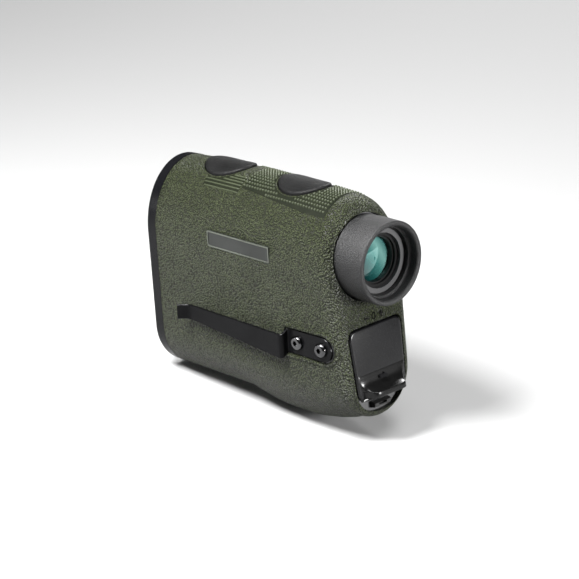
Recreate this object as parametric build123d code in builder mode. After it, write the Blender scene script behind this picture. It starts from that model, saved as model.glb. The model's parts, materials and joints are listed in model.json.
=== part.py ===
# Handheld laser rangefinder, millimetres.
# +Y runs forward along the optical axis, +X is the user's right hand side, +Z is up.
# The origin is the centre of the flat rest pad under the battery bulge.
import os
from math import atan, cos, degrees, radians, sin, sqrt

from build123d import *

os.makedirs("parts", exist_ok=True)

# ------------------------------------------------------------ body form
axis_height = 57.5  # optical axis above the rest pad
front_y = 60.0  # front edge of the bezel
bezel_y = 55.3  # seam between bezel and armour
shell_front_y = 56.6  # front end of the two shells
plate_rear_y = 57.0
plate_front_y = 58.2
shoulder_z = 54.0  # centre height of the round crown
keel_z = 20.0  # centre height of the round underside
rear_y = -28.0  # rear face at pivot height
rear_lean = 6.3  # rear face leans out towards the battery door, degrees
pivot_z = 40.0
rear_round = 4.9
armor_wall = 1.5
cavity_inset = 3.3  # armour and shell walls together
bezel_lip = 2.9

# station y, share of the rear lean, half width at shoulder, half width at keel, crown z, underside z
stations = (
    (front_y, 0.0, 17.1, 16.4, 76.2, 3.3),
    (40.0, 0.0, 17.5, 16.7, 77.2, 3.2),
    (19.5, 0.0, 17.6, 16.8, 77.4, 3.0),
    (16.5, 0.0, 17.6, 16.8, 77.35, 2.2),
    (12.5, 0.0, 17.6, 16.8, 77.3, 1.1),
    (8.0, 0.0, 17.6, 16.8, 77.3, 0.2),
    (3.0, 0.0, 17.6, 16.8, 77.25, -0.3),
    (-5.0, 0.2, 17.6, 16.7, 77.2, -0.35),
    (-12.0, 0.5, 17.5, 16.2, 77.1, 0.6),
    (-18.0, 0.8, 17.4, 15.8, 77.0, 2.2),
    (rear_y + rear_round, 1.0, 17.3, 15.4, 77.0, 4.0),
)

# ------------------------------------------------------------ buttons
button_half_length = 9.6
button_half_width = 7.5
button_gap = 0.4
button_travel = 0.7
button_proud = 0.7
button_depth = 2.0
plunger_radius = 1.4
measure_y = 35.0
menu_y = 0.3
board_top_z = 70.3
board_thickness = 1.0
switch_height = 1.7
actuator_height = 0.4

# ------------------------------------------------------------ front optics
objective_bore = 12.25
objective_barrel_radius = 13.4
emitter_z = 25.0
emitter_bore = 7.25
emitter_barrel_radius = 8.4
running_gap = 0.05  # radial clearance of turning and sliding fits

# ------------------------------------------------------------ eyepiece
seat_y = -23.6  # floor of the eyecup counterbore
seat_radius = 14.1
eyecup_radius = 13.7
eyecup_base_radius = 13.5
eyecup_base_y = -28.2
eyecup_rim_y = -37.4
eyecup_bore = 12.3
eyecup_shoulder_y = -34.2
ring_radius = 12.0
ring_rear_y = -33.0
tube_outer = 10.6
tube_bore = 9.0
tube_rear_y = -32.4
cell_bore = 7.9
cell_rear_y = -31.2
focus_travel = 1.0
focus_turn = 60
cam_pin_y = -27.5
cam_pin_radius = 0.8

# ------------------------------------------------------------ battery bay
battery_z = 21.5
battery_radius = 7.8
battery_front_y = -0.5
battery_rear_y = -26.0
nub_rear_y = -27.2
liner_bore = 8.2
liner_radius = 9.2
liner_rear_y = -23.5
liner_front_y = 5.0
spring_wire = 0.35

# ------------------------------------------------------------ battery door
door_top_y = -28.75
door_top_z = 35.6
door_lean = 7.0
door_half_top = 11.8
door_half_low = 10.5
door_drop = 24.0
door_thickness = 2.2
door_gap = 0.45
pocket_depth = 3.3
pocket_drop = 28.2
pin_inset = 1.8
pin_radius = 0.7
knuckle_radius = 1.65
lip_plan = ((9.8, -2.2), (9.6, 0.6), (8.6, 3.0), (7.3, 4.2))  # half of the lip seen from above: x, outward
contact_drop = 14.2  # from the door's top edge to the battery axis, along the door

# ------------------------------------------------------------ belt clip
clip_z = 29.7
clip_face_x = -16.75  # outer face of the screwed plate
clip_strip = 0.9
clip_rear_y = -25.6
clip_fold_y = -5.0
clip_stand = 3.0
clip_contact_y = 39.3
clip_tip_y = 42.6
clip_root_half = 4.1  # half height of the screwed plate
clip_root_low = 5.9  # the arm leaves its fold lower than the plate
clip_root_high = 2.3
clip_end_half = 2.6
window_rear = clip_rear_y + clip_root_half  # opening in the armour round the plate
window_half = clip_root_half + 0.35
screw_stations = (-10.3, -21.1)
insert_radius = 2.1
insert_length = 4.5

# ------------------------------------------------------------ badge and case screws
badge_span = (0.2, 29.4)
badge_heights = (54.2, 59.8)
case_screw_places = ((50.5, 38.5), (-12.5, 38.5), (25.0, 13.5), (50.0, 13.5))
case_head_x = 11.6
board_screw_places = ((0.0, 37.0), (35.0, 38.5))

optical_axis = Axis((0, 0, axis_height), (0, 1, 0))
emitter_axis = Axis((0, 0, emitter_z), (0, 1, 0))
door_plane = Plane(
    origin=(0, door_top_y, door_top_z),
    x_dir=(1, 0, 0),
    z_dir=(0, -cos(radians(door_lean)), sin(radians(door_lean))),
)
door_side = Plane(origin=door_plane.origin, x_dir=door_plane.z_dir, z_dir=(-1, 0, 0))
door_plan = Plane(origin=door_plane.origin, x_dir=(1, 0, 0), z_dir=-door_plane.y_dir)


def across(y):
    """Upright plane at station y whose normal points to the rear."""
    return Plane.XZ.offset(-y)


def save(piece, name):
    """Label one finished piece and write it."""
    piece.part.label = name
    export_step(piece.part, f"parts/{name}.step")


def oval(shoulder_half, keel_half, crown, underside):
    """Closed outline of one body section: two half ellipses joined by their common tangents."""
    crown_rise = crown - shoulder_z
    keel_drop = keel_z - underside
    slope = 0.0
    for _ in range(6):
        upper = sqrt(shoulder_half**2 + (crown_rise * slope) ** 2)
        lower = sqrt(keel_half**2 + (keel_drop * slope) ** 2)
        slope = (upper - lower) / (shoulder_z - keel_z)
    upper_turn = degrees(atan(slope * crown_rise / shoulder_half))
    lower_turn = degrees(atan(slope * keel_drop / keel_half))
    with BuildLine() as outline:
        crown_arc = EllipticalCenterArc(
            (0, shoulder_z - pivot_z),
            shoulder_half,
            crown_rise,
            start_angle=-upper_turn,
            arc_size=180 + 2 * upper_turn,
        )
        keel_arc = EllipticalCenterArc(
            (0, keel_z - pivot_z),
            keel_half,
            keel_drop,
            start_angle=180 + lower_turn,
            arc_size=180 - 2 * lower_turn,
        )
        Line(crown_arc @ 1, keel_arc @ 0)
        Line(keel_arc @ 1, crown_arc @ 0)
    return outline.line


def body_form(inset):
    """Solid of the whole body drawn in by inset on every side but the front."""
    rows = [
        (y, share, a - inset, b - inset, top - inset, low + inset)
        for y, share, a, b, top, low in stations
    ]
    last_y, _, a, b, top, low = rows[-1]
    radius = rear_round - inset
    for turn in (22.5, 45.0, 67.5, 88.0):
        shrink = radius * (1 - cos(radians(turn)))
        back = radius * sin(radians(turn))
        rows.append((last_y - back, 1.0, a - shrink, b - shrink, top - shrink, low + shrink))
    with BuildPart() as form:
        for y, share, a, b, top, low in rows:
            tilt = radians(rear_lean * share)
            leaning = Plane(origin=(0, y, pivot_z), x_dir=(1, 0, 0), z_dir=(0, -cos(tilt), sin(tilt)))
            with BuildSketch(leaning):
                add(oval(a, b, top, low))
                make_face()
        loft(ruled=True)
        with BuildSketch(Plane.XY.offset(inset)):
            Rectangle(80, 200)
        extrude(amount=100, mode=Mode.INTERSECT)
    return form.part


def slab(y_low, y_high, z_low, z_high, half_width=30.0):
    """Block used to cut the body forms into lengths."""
    with BuildPart() as block:
        with BuildSketch(Plane.YZ.offset(-half_width)):
            with Locations(((y_low + y_high) / 2, (z_low + z_high) / 2)):
                Rectangle(y_high - y_low, z_high - z_low)
        extrude(amount=2 * half_width)
    return block.part


def shield(half_top, half_low, drop, corner):
    """Outline face of the battery door, hanging down from its top edge."""
    with BuildSketch() as face:
        with BuildLine():
            Polyline((-half_top, 0), (half_top, 0), (half_low, -drop), (-half_low, -drop), close=True)
        make_face()
        fillet(face.vertices().group_by(Axis.Y)[-1], 2.6)
        fillet(face.vertices().group_by(Axis.Y)[0], corner)
    return face.sketch


def half_way(y, bulge, radius):
    """Station of a spherical face at half its radius."""
    sphere = (radius**2 + bulge**2) / (2 * bulge)
    reach = sqrt(sphere**2 - radius**2 / 4)
    depth = sphere - reach if bulge > 0 else sphere + reach
    return y + bulge - depth


def lens_face(y_front, y_rear, radius, bulge_front, bulge_rear, z):
    """Half section of a lens in the YZ plane, above its axis."""
    with BuildLine() as edge:
        Line((y_rear - bulge_rear, z), (y_front + bulge_front, z))
        Line((y_front, z + radius), (y_rear, z + radius))
        for y, bulge in ((y_front, bulge_front), (y_rear, -bulge_rear)):
            if bulge == 0:
                Line((y, z + radius), (y, z))
            else:
                middle = (half_way(y, bulge, radius), z + radius / 2)
                ThreePointArc((y, z + radius), middle, (y + bulge, z))
    return edge.line


outer_form = body_form(0.0)
shell_form = body_form(armor_wall)
cavity_form = body_form(cavity_inset)

# ------------------------------------------------------------ cutters shared by armour and shells
with BuildPart() as door_pocket:
    with BuildSketch(door_plane.offset(8)):
        add(shield(door_half_top, door_half_low, pocket_drop, 9.2))
        offset(amount=door_gap)
    extrude(amount=-8 - pocket_depth)

with BuildPart() as eyepiece_opening:
    with BuildSketch(across(seat_y)):
        with Locations((0, axis_height)):
            Circle(seat_radius)
    extrude(amount=20)

with BuildPart() as button_openings:
    with BuildSketch(Plane.XY.offset(shoulder_z + 8)):
        with Locations((0, measure_y), (0, menu_y)):
            Ellipse(button_half_width + button_gap, button_half_length + button_gap)
    extrude(amount=30)

with BuildPart() as clip_window:
    with BuildSketch(Plane.YZ.offset(-30)):
        with BuildLine():
            ThreePointArc(
                (window_rear, clip_z + window_half),
                (window_rear - window_half, clip_z),
                (window_rear, clip_z - window_half),
            )
            Polyline(
                (window_rear, clip_z - window_half),
                (clip_fold_y + 0.6, clip_z - window_half),
                (clip_fold_y + 0.6, clip_z + window_half),
                (window_rear, clip_z + window_half),
            )
        make_face()
    extrude(amount=30 - 13.4)

with BuildPart() as badge_pocket:
    with BuildSketch(Plane.YZ.offset(-30)):
        with Locations((sum(badge_span) / 2, sum(badge_heights) / 2)):
            Rectangle(badge_span[1] - badge_span[0] + 0.4, badge_heights[1] - badge_heights[0] + 0.4)
    extrude(amount=20)
    add(body_form(1.0), mode=Mode.SUBTRACT)

# ------------------------------------------------------------ rubber armour
with BuildPart() as armor_sleeve:
    add(outer_form)
    add(slab(-60, bezel_y, -1, 90), mode=Mode.INTERSECT)
    add(shell_form, mode=Mode.SUBTRACT)
    add(badge_pocket.part, mode=Mode.SUBTRACT)
    add(clip_window.part, mode=Mode.SUBTRACT)
    add(button_openings.part, mode=Mode.SUBTRACT)
    add(eyepiece_opening.part, mode=Mode.SUBTRACT)
    with BuildSketch(across(-18)):
        with Locations((0, axis_height)):
            Circle(seat_radius)
    extrude(amount=20, mode=Mode.SUBTRACT)
    add(door_pocket.part, mode=Mode.SUBTRACT)
    with BuildSketch(door_side):
        with Locations((-pin_inset, -pin_inset)):
            Circle(pin_radius)
    extrude(amount=door_half_top + 1.8, both=True, mode=Mode.SUBTRACT)
save(armor_sleeve, "armor_sleeve")

with BuildPart() as side_badge:
    add(body_form(0.2))
    add(slab(*badge_span, *badge_heights), mode=Mode.INTERSECT)
    add(body_form(1.0), mode=Mode.SUBTRACT)
    split(bisect_by=Plane.YZ, keep=Keep.BOTTOM)
save(side_badge, "side_badge")

# ------------------------------------------------------------ shells
with BuildPart() as bay_block:
    add(shell_form)
    add(slab(-60, liner_rear_y, 3, 38.2), mode=Mode.INTERSECT)

with BuildPart() as eyepiece_boss:
    with BuildSketch(across(-20.4)):
        with Locations((0, axis_height)):
            Circle(seat_radius + 1.2)
    extrude(amount=12)
    add(shell_form, mode=Mode.INTERSECT)

with BuildPart() as inner_bosses:
    with BuildSketch(Plane.YZ.offset(-20)):
        with Locations(*case_screw_places):
            Circle(2.4)
    extrude(amount=40)
    with BuildSketch(Plane.YZ.offset(11.4)):
        with Locations(*board_screw_places):
            Circle(2.2)
    extrude(amount=6)
    with BuildSketch(Plane.YZ.offset(clip_face_x - 1)):
        with Locations(*[(y, clip_z) for y in screw_stations]):
            Circle(insert_radius + 1.2)
    extrude(amount=6.4)
    with BuildSketch(Plane.XY.offset(board_top_z - board_thickness - 1.4)):
        with Locations((-9.0, 16.5), (9.0, 16.5)):
            Rectangle(4.2, 53)
    extrude(amount=1.4)
    add(shell_form, mode=Mode.INTERSECT)

with BuildPart() as clip_seat:
    with BuildSketch(Plane.YZ.offset(clip_face_x + clip_strip)):
        with BuildLine():
            ThreePointArc(
                (window_rear, clip_z + window_half),
                (window_rear - window_half, clip_z),
                (window_rear, clip_z - window_half),
            )
            Polyline(
                (window_rear, clip_z - window_half),
                (clip_fold_y + 0.6, clip_z - window_half),
                (clip_fold_y + 0.6, clip_z + window_half),
                (window_rear, clip_z + window_half),
            )
        make_face()
    extrude(amount=2.2)

with BuildPart() as housing:
    add(shell_form)
    add(cavity_form, mode=Mode.SUBTRACT)
    add(bay_block.part)
    add(eyepiece_boss.part)
    add(inner_bosses.part)
    add(clip_seat.part)
    add(slab(-60, shell_front_y, -1, 90), mode=Mode.INTERSECT)
    add(door_pocket.part, mode=Mode.SUBTRACT)
    add(eyepiece_opening.part, mode=Mode.SUBTRACT)
    add(button_openings.part, mode=Mode.SUBTRACT)
    with BuildSketch(across(-15)):
        with Locations((0, battery_z)):
            Circle(liner_bore + 0.1)
    extrude(amount=30, mode=Mode.SUBTRACT)
    with BuildSketch(across(-15)):
        with Locations((0, axis_height)):
            Circle(tube_outer + 0.02)
    extrude(amount=20, mode=Mode.SUBTRACT)
    with BuildSketch(door_side):
        with Locations((-pin_inset, -pin_inset)):
            Circle(knuckle_radius + 0.5)
    extrude(amount=door_half_top + door_gap, both=True, mode=Mode.SUBTRACT)
    with BuildSketch(door_side):
        with Locations((-pin_inset, -pin_inset)):
            Circle(pin_radius)
    extrude(amount=door_half_top + 1.8, both=True, mode=Mode.SUBTRACT)
    with BuildSketch(Plane.YZ.offset(-12)):
        with Locations(*case_screw_places):
            Circle(0.9)
    extrude(amount=26, mode=Mode.SUBTRACT)
    with BuildSketch(Plane.YZ.offset(case_head_x)):
        with Locations(*case_screw_places):
            Circle(1.9)
    extrude(amount=10, mode=Mode.SUBTRACT)
    with BuildSketch(Plane.YZ.offset(10)):
        with Locations(*board_screw_places):
            Circle(0.9)
    extrude(amount=3.6, mode=Mode.SUBTRACT)
    with BuildSketch(Plane.YZ.offset(-30)):
        with Locations(*[(y, clip_z) for y in screw_stations]):
            Circle(insert_radius)
    extrude(amount=30 + clip_face_x + clip_strip + insert_length, mode=Mode.SUBTRACT)

with BuildPart() as left_shell:
    add(housing.part)
    split(bisect_by=Plane.YZ, keep=Keep.BOTTOM)
save(left_shell, "left_shell")

with BuildPart() as right_shell:
    add(housing.part)
    split(bisect_by=Plane.YZ, keep=Keep.TOP)
save(right_shell, "right_shell")

with BuildPart() as case_screws:
    with BuildSketch(Plane.YZ.offset(-12)):
        with Locations(*case_screw_places):
            Circle(0.9)
    extrude(amount=12 + case_head_x)
    with BuildSketch(Plane.YZ.offset(case_head_x)):
        with Locations(*case_screw_places):
            Circle(1.8)
    extrude(amount=1.0)
save(case_screws, "case_screws")

# ------------------------------------------------------------ front end
with BuildPart() as front_bezel:
    add(outer_form)
    add(slab(bezel_y, front_y, -1, 90), mode=Mode.INTERSECT)
    fillet(front_bezel.edges().group_by(Axis.Y)[-1], 1.1)
    with BuildPart(mode=Mode.PRIVATE) as pocket:
        add(shell_form)
        add(slab(bezel_y - 1, plate_front_y, -1, 90), mode=Mode.INTERSECT)
    add(pocket.part, mode=Mode.SUBTRACT)
    add(body_form(bezel_lip), mode=Mode.SUBTRACT)
save(front_bezel, "front_bezel")

with BuildPart() as front_gasket:
    add(shell_form)
    add(cavity_form, mode=Mode.SUBTRACT)
    add(slab(shell_front_y, plate_rear_y, -1, 90), mode=Mode.INTERSECT)
save(front_gasket, "front_gasket")

with BuildPart() as front_plate:
    add(shell_form)
    add(slab(plate_rear_y, plate_front_y, -1, 90), mode=Mode.INTERSECT)
    with BuildSketch(across(front_y)):
        with Locations((0, axis_height)):
            Circle(objective_barrel_radius + running_gap)
        with Locations((0, emitter_z)):
            Circle(emitter_barrel_radius + running_gap)
    extrude(amount=10, mode=Mode.SUBTRACT)
save(front_plate, "front_plate")

with BuildPart() as objective_barrel:
    with BuildSketch(across(58.8)):
        with Locations((0, axis_height)):
            Circle(objective_barrel_radius)
            Circle(objective_bore, mode=Mode.SUBTRACT)
    extrude(amount=8)
    with BuildSketch(across(50.8)):
        with Locations((0, axis_height)):
            Circle(objective_barrel_radius)
            Circle(10.9, mode=Mode.SUBTRACT)
    extrude(amount=7.8)
save(objective_barrel, "objective_barrel")

with BuildPart() as objective_crown:
    with BuildSketch(Plane.YZ):
        add(lens_face(56.0, 53.6, objective_bore, 1.2, 1.4, axis_height))
        make_face()
    revolve(axis=optical_axis)
save(objective_crown, "objective_crown")

with BuildPart() as objective_flint:
    with BuildSketch(Plane.YZ):
        add(lens_face(53.6, 50.8, objective_bore, -1.4, 0, axis_height))
        make_face()
    revolve(axis=optical_axis)
save(objective_flint, "objective_flint")

with BuildPart() as objective_retainer:
    with BuildSketch(across(58.4)):
        with Locations((0, axis_height)):
            Circle(objective_bore)
            Circle(11.5, mode=Mode.SUBTRACT)
    extrude(amount=2.1)
save(objective_retainer, "objective_retainer")

with BuildPart() as emitter_barrel:
    with BuildSketch(across(58.6)):
        with Locations((0, emitter_z)):
            Circle(emitter_barrel_radius)
            Circle(emitter_bore, mode=Mode.SUBTRACT)
    extrude(amount=5.6)
    with BuildSketch(across(53)):
        with Locations((0, emitter_z)):
            Circle(emitter_barrel_radius)
            Circle(6.4, mode=Mode.SUBTRACT)
    extrude(amount=15)
save(emitter_barrel, "emitter_barrel")

with BuildPart() as emitter_lens:
    with BuildSketch(Plane.YZ):
        add(lens_face(55.6, 53.0, emitter_bore, 1.3, 0, emitter_z))
        make_face()
    revolve(axis=emitter_axis)
save(emitter_lens, "emitter_lens")

with BuildPart() as emitter_retainer:
    with BuildSketch(across(58.2)):
        with Locations((0, emitter_z)):
            Circle(emitter_bore)
            Circle(6.6, mode=Mode.SUBTRACT)
    extrude(amount=2.1)
save(emitter_retainer, "emitter_retainer")

# ------------------------------------------------------------ chassis, prisms and laser
with BuildPart() as optical_chassis:
    add(body_form(3.8))
    with BuildPart(mode=Mode.PRIVATE) as webs:
        add(slab(44.0, 46.4, 15, 56))
        add(slab(-20.3, -18.0, 43.0, 69.0))
        add(slab(-20.3, 46.4, 43.0, 44.5, half_width=8.0))
    add(webs.part, mode=Mode.INTERSECT)
    with BuildSketch(across(60)):
        with Locations((0, axis_height)):
            Circle(objective_barrel_radius)
        with Locations((0, emitter_z)):
            Circle(emitter_barrel_radius)
    extrude(amount=20, mode=Mode.SUBTRACT)
    with BuildSketch(across(0)):
        with Locations((0, axis_height)):
            Circle(tube_outer)
    extrude(amount=30, mode=Mode.SUBTRACT)
    with BuildSketch(Plane.XY.offset(40)):
        with Locations((0, 32.5)):
            Circle(3.4)
    extrude(amount=8, mode=Mode.SUBTRACT)
save(optical_chassis, "optical_chassis")

with BuildPart() as prism_holder:
    add(slab(4.0, 32.0, 44.5, 60.0, half_width=9.6))
    add(slab(3.0, 33.0, 48.5, 61.0, half_width=8.4), mode=Mode.SUBTRACT)
    with BuildSketch(Plane.XY.offset(44)):
        with Locations((0, 28.0)):
            Rectangle(6, 5)
    extrude(amount=6, mode=Mode.SUBTRACT)
save(prism_holder, "prism_holder")

with BuildPart() as roof_prism:
    with BuildSketch(Plane.YZ.offset(-8.35)):
        with BuildLine():
            Polyline((21.3, 66.5), (16.9, 57), (18.9, 48.5), (9, 48.5), (5.5, 56), (9, 66.5), close=True)
        make_face()
    extrude(amount=16.7)
save(roof_prism, "roof_prism")

with BuildPart() as pechan_prism:
    with BuildSketch(Plane.YZ.offset(-8.35)):
        with BuildLine():
            Polyline((30, 48.5), (30, 66.5), (22, 66.5), (17.6, 57), (19.6, 48.5), close=True)
        make_face()
    extrude(amount=16.7)
save(pechan_prism, "pechan_prism")

with BuildPart() as prism_clamp:
    add(slab(14.0, 24.0, 55.0, 67.1, half_width=10.2))
    add(slab(13.0, 25.0, 50.0, 66.5, half_width=9.6), mode=Mode.SUBTRACT)
save(prism_clamp, "prism_clamp")

with BuildPart() as laser_heatsink:
    add(slab(12.0, 24.0, 18.5, 31.5, half_width=6.0))
    add(slab(12.0, 16.0, 31.0, 43.0, half_width=3.0))
    with BuildSketch(across(25)):
        with Locations((0, emitter_z)):
            Circle(2.4)
    extrude(amount=14, mode=Mode.SUBTRACT)
save(laser_heatsink, "laser_heatsink")

with BuildPart() as laser_diode:
    with BuildSketch(across(25.2)):
        with Locations((0, emitter_z)):
            Circle(2.8)
    extrude(amount=1.2)
    with BuildSketch(across(28.4)):
        with Locations((0, emitter_z)):
            Circle(2.2)
    extrude(amount=3.2)
    with BuildSketch(across(24.0)):
        with Locations((-1.2, emitter_z), (1.2, emitter_z)):
            Circle(0.25)
    extrude(amount=14)
save(laser_diode, "laser_diode")

with BuildPart() as detector_tube:
    with BuildSketch(Plane.XY.offset(34.4)):
        with Locations((0, 32.5)):
            Circle(4.4)
            Circle(3.4, mode=Mode.SUBTRACT)
    extrude(amount=8.6)
save(detector_tube, "detector_tube")

with BuildPart() as detector_diode:
    with BuildSketch(Plane.XY.offset(34.4)):
        with Locations((0, 32.5)):
            Circle(2.6)
    extrude(amount=2.4)
save(detector_diode, "detector_diode")

with BuildPart() as detector_board:
    add(slab(26.5, 37.5, 33.4, 34.4, half_width=7.0))
save(detector_board, "detector_board")

with BuildPart() as display_panel:
    add(slab(-4.0, -2.6, 44.5, 67.0, half_width=8.4))
save(display_panel, "display_panel")

with BuildPart() as field_stop:
    with BuildSketch(across(-4.0)):
        with Locations((0, axis_height)):
            Circle(8.6)
            Circle(6.2, mode=Mode.SUBTRACT)
    extrude(amount=0.8)
save(field_stop, "field_stop")

# ------------------------------------------------------------ electronics
with BuildPart() as main_board:
    with BuildSketch(Plane.YZ.offset(10.2)):
        with Locations((18.0, 28.9)):
            RectangleRounded(42, 25.6, 1.5)
        with Locations(*board_screw_places):
            Circle(0.95, mode=Mode.SUBTRACT)
    extrude(amount=1.2)
save(main_board, "main_board")

with BuildPart() as processor_chip:
    with BuildSketch(Plane.YZ.offset(9.1)):
        with Locations((18.0, 27.0)):
            Rectangle(9, 9)
    extrude(amount=1.1)
save(processor_chip, "processor_chip")

with BuildPart() as board_screws:
    with BuildSketch(Plane.YZ.offset(9.1)):
        with Locations(*board_screw_places):
            Circle(1.6)
    extrude(amount=1.1)
    with BuildSketch(Plane.YZ.offset(10.2)):
        with Locations(*board_screw_places):
            Circle(0.9)
    extrude(amount=3.2)
save(board_screws, "board_screws")

with BuildPart() as ribbon_cable:
    with BuildSketch(across(0.5)):
        with BuildLine():
            Polyline(
                (8.4, 52.0),
                (9.6, 52.0),
                (9.6, 40.6),
                (10.2, 40.6),
                (10.2, 40.3),
                (9.3, 40.3),
                (9.3, 51.7),
                (8.4, 51.7),
                close=True,
            )
        make_face()
    extrude(amount=4.2)
save(ribbon_cable, "ribbon_cable")

with BuildPart() as button_board:
    with BuildSketch(Plane.XY.offset(board_top_z - board_thickness)):
        with Locations((0, 16.5)):
            RectangleRounded(15.0, 52, 1.5)
    extrude(amount=board_thickness)
save(button_board, "button_board")

with BuildPart() as tact_switches:
    with BuildSketch(Plane.XY.offset(board_top_z)):
        with Locations((0, measure_y), (0, menu_y)):
            Rectangle(4.2, 4.2)
    extrude(amount=switch_height)
    with BuildSketch(Plane.XY.offset(board_top_z + switch_height)):
        with Locations((0, measure_y), (0, menu_y)):
            Circle(0.9)
    extrude(amount=actuator_height)
save(tact_switches, "tact_switches")

with BuildPart() as button_gasket:
    add(cavity_form)
    add(body_form(cavity_inset + 0.5), mode=Mode.SUBTRACT)
    add(slab(menu_y - 12.5, 42.9, 60, 90, half_width=button_half_width + 1.4), mode=Mode.INTERSECT)
    with BuildSketch(Plane.XY.offset(60)):
        with Locations((0, measure_y), (0, menu_y)):
            Circle(plunger_radius + 0.35)
    extrude(amount=30, mode=Mode.SUBTRACT)
    add(slab(-30, 60, 60, board_top_z + 0.4), mode=Mode.SUBTRACT)
save(button_gasket, "button_gasket")

# ------------------------------------------------------------ buttons and plungers
button_blank = body_form(-button_proud)
button_back = body_form(button_depth)
plunger_low_z = board_top_z + switch_height + actuator_height + button_travel + 0.05


def button_cap(y):
    """Oval cap that follows the crown, in its opening at station y."""
    with BuildPart() as cap:
        with BuildSketch(Plane.XY.offset(shoulder_z + 8)):
            with Locations((0, y)):
                Ellipse(button_half_width, button_half_length)
        extrude(amount=30)
        add(button_blank, mode=Mode.INTERSECT)
        add(button_back, mode=Mode.SUBTRACT)
    return cap.part


with BuildPart() as measure_button:
    add(button_cap(measure_y))
save(measure_button, "measure_button")

with BuildPart() as menu_button:
    add(button_cap(menu_y))
save(menu_button, "menu_button")

with BuildPart() as measure_plunger:
    with BuildSketch(Plane.XY.offset(plunger_low_z)):
        with Locations((0, measure_y)):
            Circle(plunger_radius)
    extrude(amount=4)
    add(button_back, mode=Mode.INTERSECT)
save(measure_plunger, "measure_plunger")

with BuildPart() as menu_plunger:
    with BuildSketch(Plane.XY.offset(plunger_low_z)):
        with Locations((0, menu_y)):
            Circle(plunger_radius)
    extrude(amount=4)
    add(button_back, mode=Mode.INTERSECT)
save(menu_plunger, "menu_plunger")

# ------------------------------------------------------------ eyepiece
with BuildPart() as eyepiece_tube:
    with BuildSketch(across(-8)):
        with Locations((0, axis_height)):
            Circle(tube_outer)
            Circle(tube_bore, mode=Mode.SUBTRACT)
    extrude(amount=-8 - tube_rear_y)
    with BuildSketch(across(-16.4)):
        with Locations((0, axis_height)):
            Circle(12.6)
            Circle(tube_bore, mode=Mode.SUBTRACT)
    extrude(amount=1.6)
    with BuildSketch(across(-24.2)):
        with Locations((0, axis_height)):
            Circle(tube_outer + 1)
            Circle(tube_outer - 0.92, mode=Mode.SUBTRACT)
    extrude(amount=0.96, mode=Mode.SUBTRACT)
    with BuildSketch(Plane.XY.offset(axis_height + tube_bore - 2)):
        with Locations((0, cam_pin_y)):
            slot_half = cam_pin_radius + 0.06
            SlotOverall(2 * (focus_travel + slot_half), 2 * slot_half, rotation=90)
    extrude(amount=6, mode=Mode.SUBTRACT)
save(eyepiece_tube, "eyepiece_tube")

with BuildPart() as dioptre_seal:
    with BuildSketch(Plane.YZ):
        with Locations((-24.68, axis_height + tube_outer - 0.45)):
            Circle(0.45)
    revolve(axis=optical_axis)
save(dioptre_seal, "dioptre_seal")

with BuildPart() as dioptre_ring:
    with BuildSketch(across(seat_y - 0.3)):
        with Locations((0, axis_height)):
            Circle(ring_radius)
            Circle(tube_outer + running_gap, mode=Mode.SUBTRACT)
    extrude(amount=seat_y - 0.3 - ring_rear_y)
    for half_degrees in range(-2 * focus_turn - 4, 2 * focus_turn + 5, 5):
        turn = half_degrees / 2
        lead = cam_pin_y - focus_travel * turn / focus_turn
        spot = Plane(
            origin=(0, lead, axis_height),
            x_dir=(0, 1, 0),
            z_dir=(sin(radians(turn)), 0, cos(radians(turn))),
        )
        with BuildSketch(spot.offset(10)):
            Circle(cam_pin_radius + 0.1)
        extrude(amount=1.6, mode=Mode.SUBTRACT)
save(dioptre_ring, "dioptre_ring")

with BuildPart() as eyecup:
    with BuildSketch(Plane.YZ):
        with BuildLine():
            Polyline(
                (seat_y - 0.3, axis_height + ring_radius),
                (seat_y - 0.3, axis_height + eyecup_base_radius),
                (eyecup_base_y, axis_height + eyecup_base_radius),
                (eyecup_base_y, axis_height + eyecup_radius),
                (eyecup_rim_y, axis_height + eyecup_radius),
                (eyecup_rim_y, axis_height + eyecup_bore),
                (eyecup_shoulder_y, axis_height + eyecup_bore),
                (eyecup_shoulder_y, axis_height + 10.9),
                (ring_rear_y, axis_height + 10.9),
                (ring_rear_y, axis_height + ring_radius),
                close=True,
            )
        make_face()
    revolve(axis=optical_axis)
    fillet(eyecup.edges().group_by(Axis.Y)[0], 0.5)
save(eyecup, "eyecup")

with BuildPart() as ocular_cell:
    with BuildSketch(across(-10.2)):
        with Locations((0, axis_height)):
            Circle(tube_bore - running_gap)
            Circle(6.9, mode=Mode.SUBTRACT)
    extrude(amount=1.6)
    with BuildSketch(across(-11.8)):
        with Locations((0, axis_height)):
            Circle(tube_bore - running_gap)
            Circle(cell_bore, mode=Mode.SUBTRACT)
    extrude(amount=-11.8 - cell_rear_y)
    with BuildSketch(Plane.XY.offset(axis_height + 8)):
        with Locations((0, cam_pin_y)):
            Circle(cam_pin_radius)
    extrude(amount=3, mode=Mode.SUBTRACT)
save(ocular_cell, "ocular_cell")

with BuildPart() as cam_pin:
    with BuildSketch(Plane.XY.offset(axis_height + 8.05)):
        with Locations((0, cam_pin_y)):
            Circle(cam_pin_radius)
    extrude(amount=3.35)
save(cam_pin, "cam_pin")

with BuildPart() as field_lens:
    with BuildSketch(Plane.YZ):
        add(lens_face(-12.9, -15.6, cell_bore, 1.0, 1.2, axis_height))
        make_face()
    revolve(axis=optical_axis)
save(field_lens, "field_lens")

with BuildPart() as lens_spacer:
    with BuildSketch(across(-15.9)):
        with Locations((0, axis_height)):
            Circle(cell_bore)
            Circle(7.2, mode=Mode.SUBTRACT)
    extrude(amount=8.0)
save(lens_spacer, "lens_spacer")

with BuildPart() as eye_lens:
    with BuildSketch(Plane.YZ):
        add(lens_face(-24.2, -28.2, cell_bore, 1.0, 1.4, axis_height))
        make_face()
    revolve(axis=optical_axis)
save(eye_lens, "eye_lens")

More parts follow.
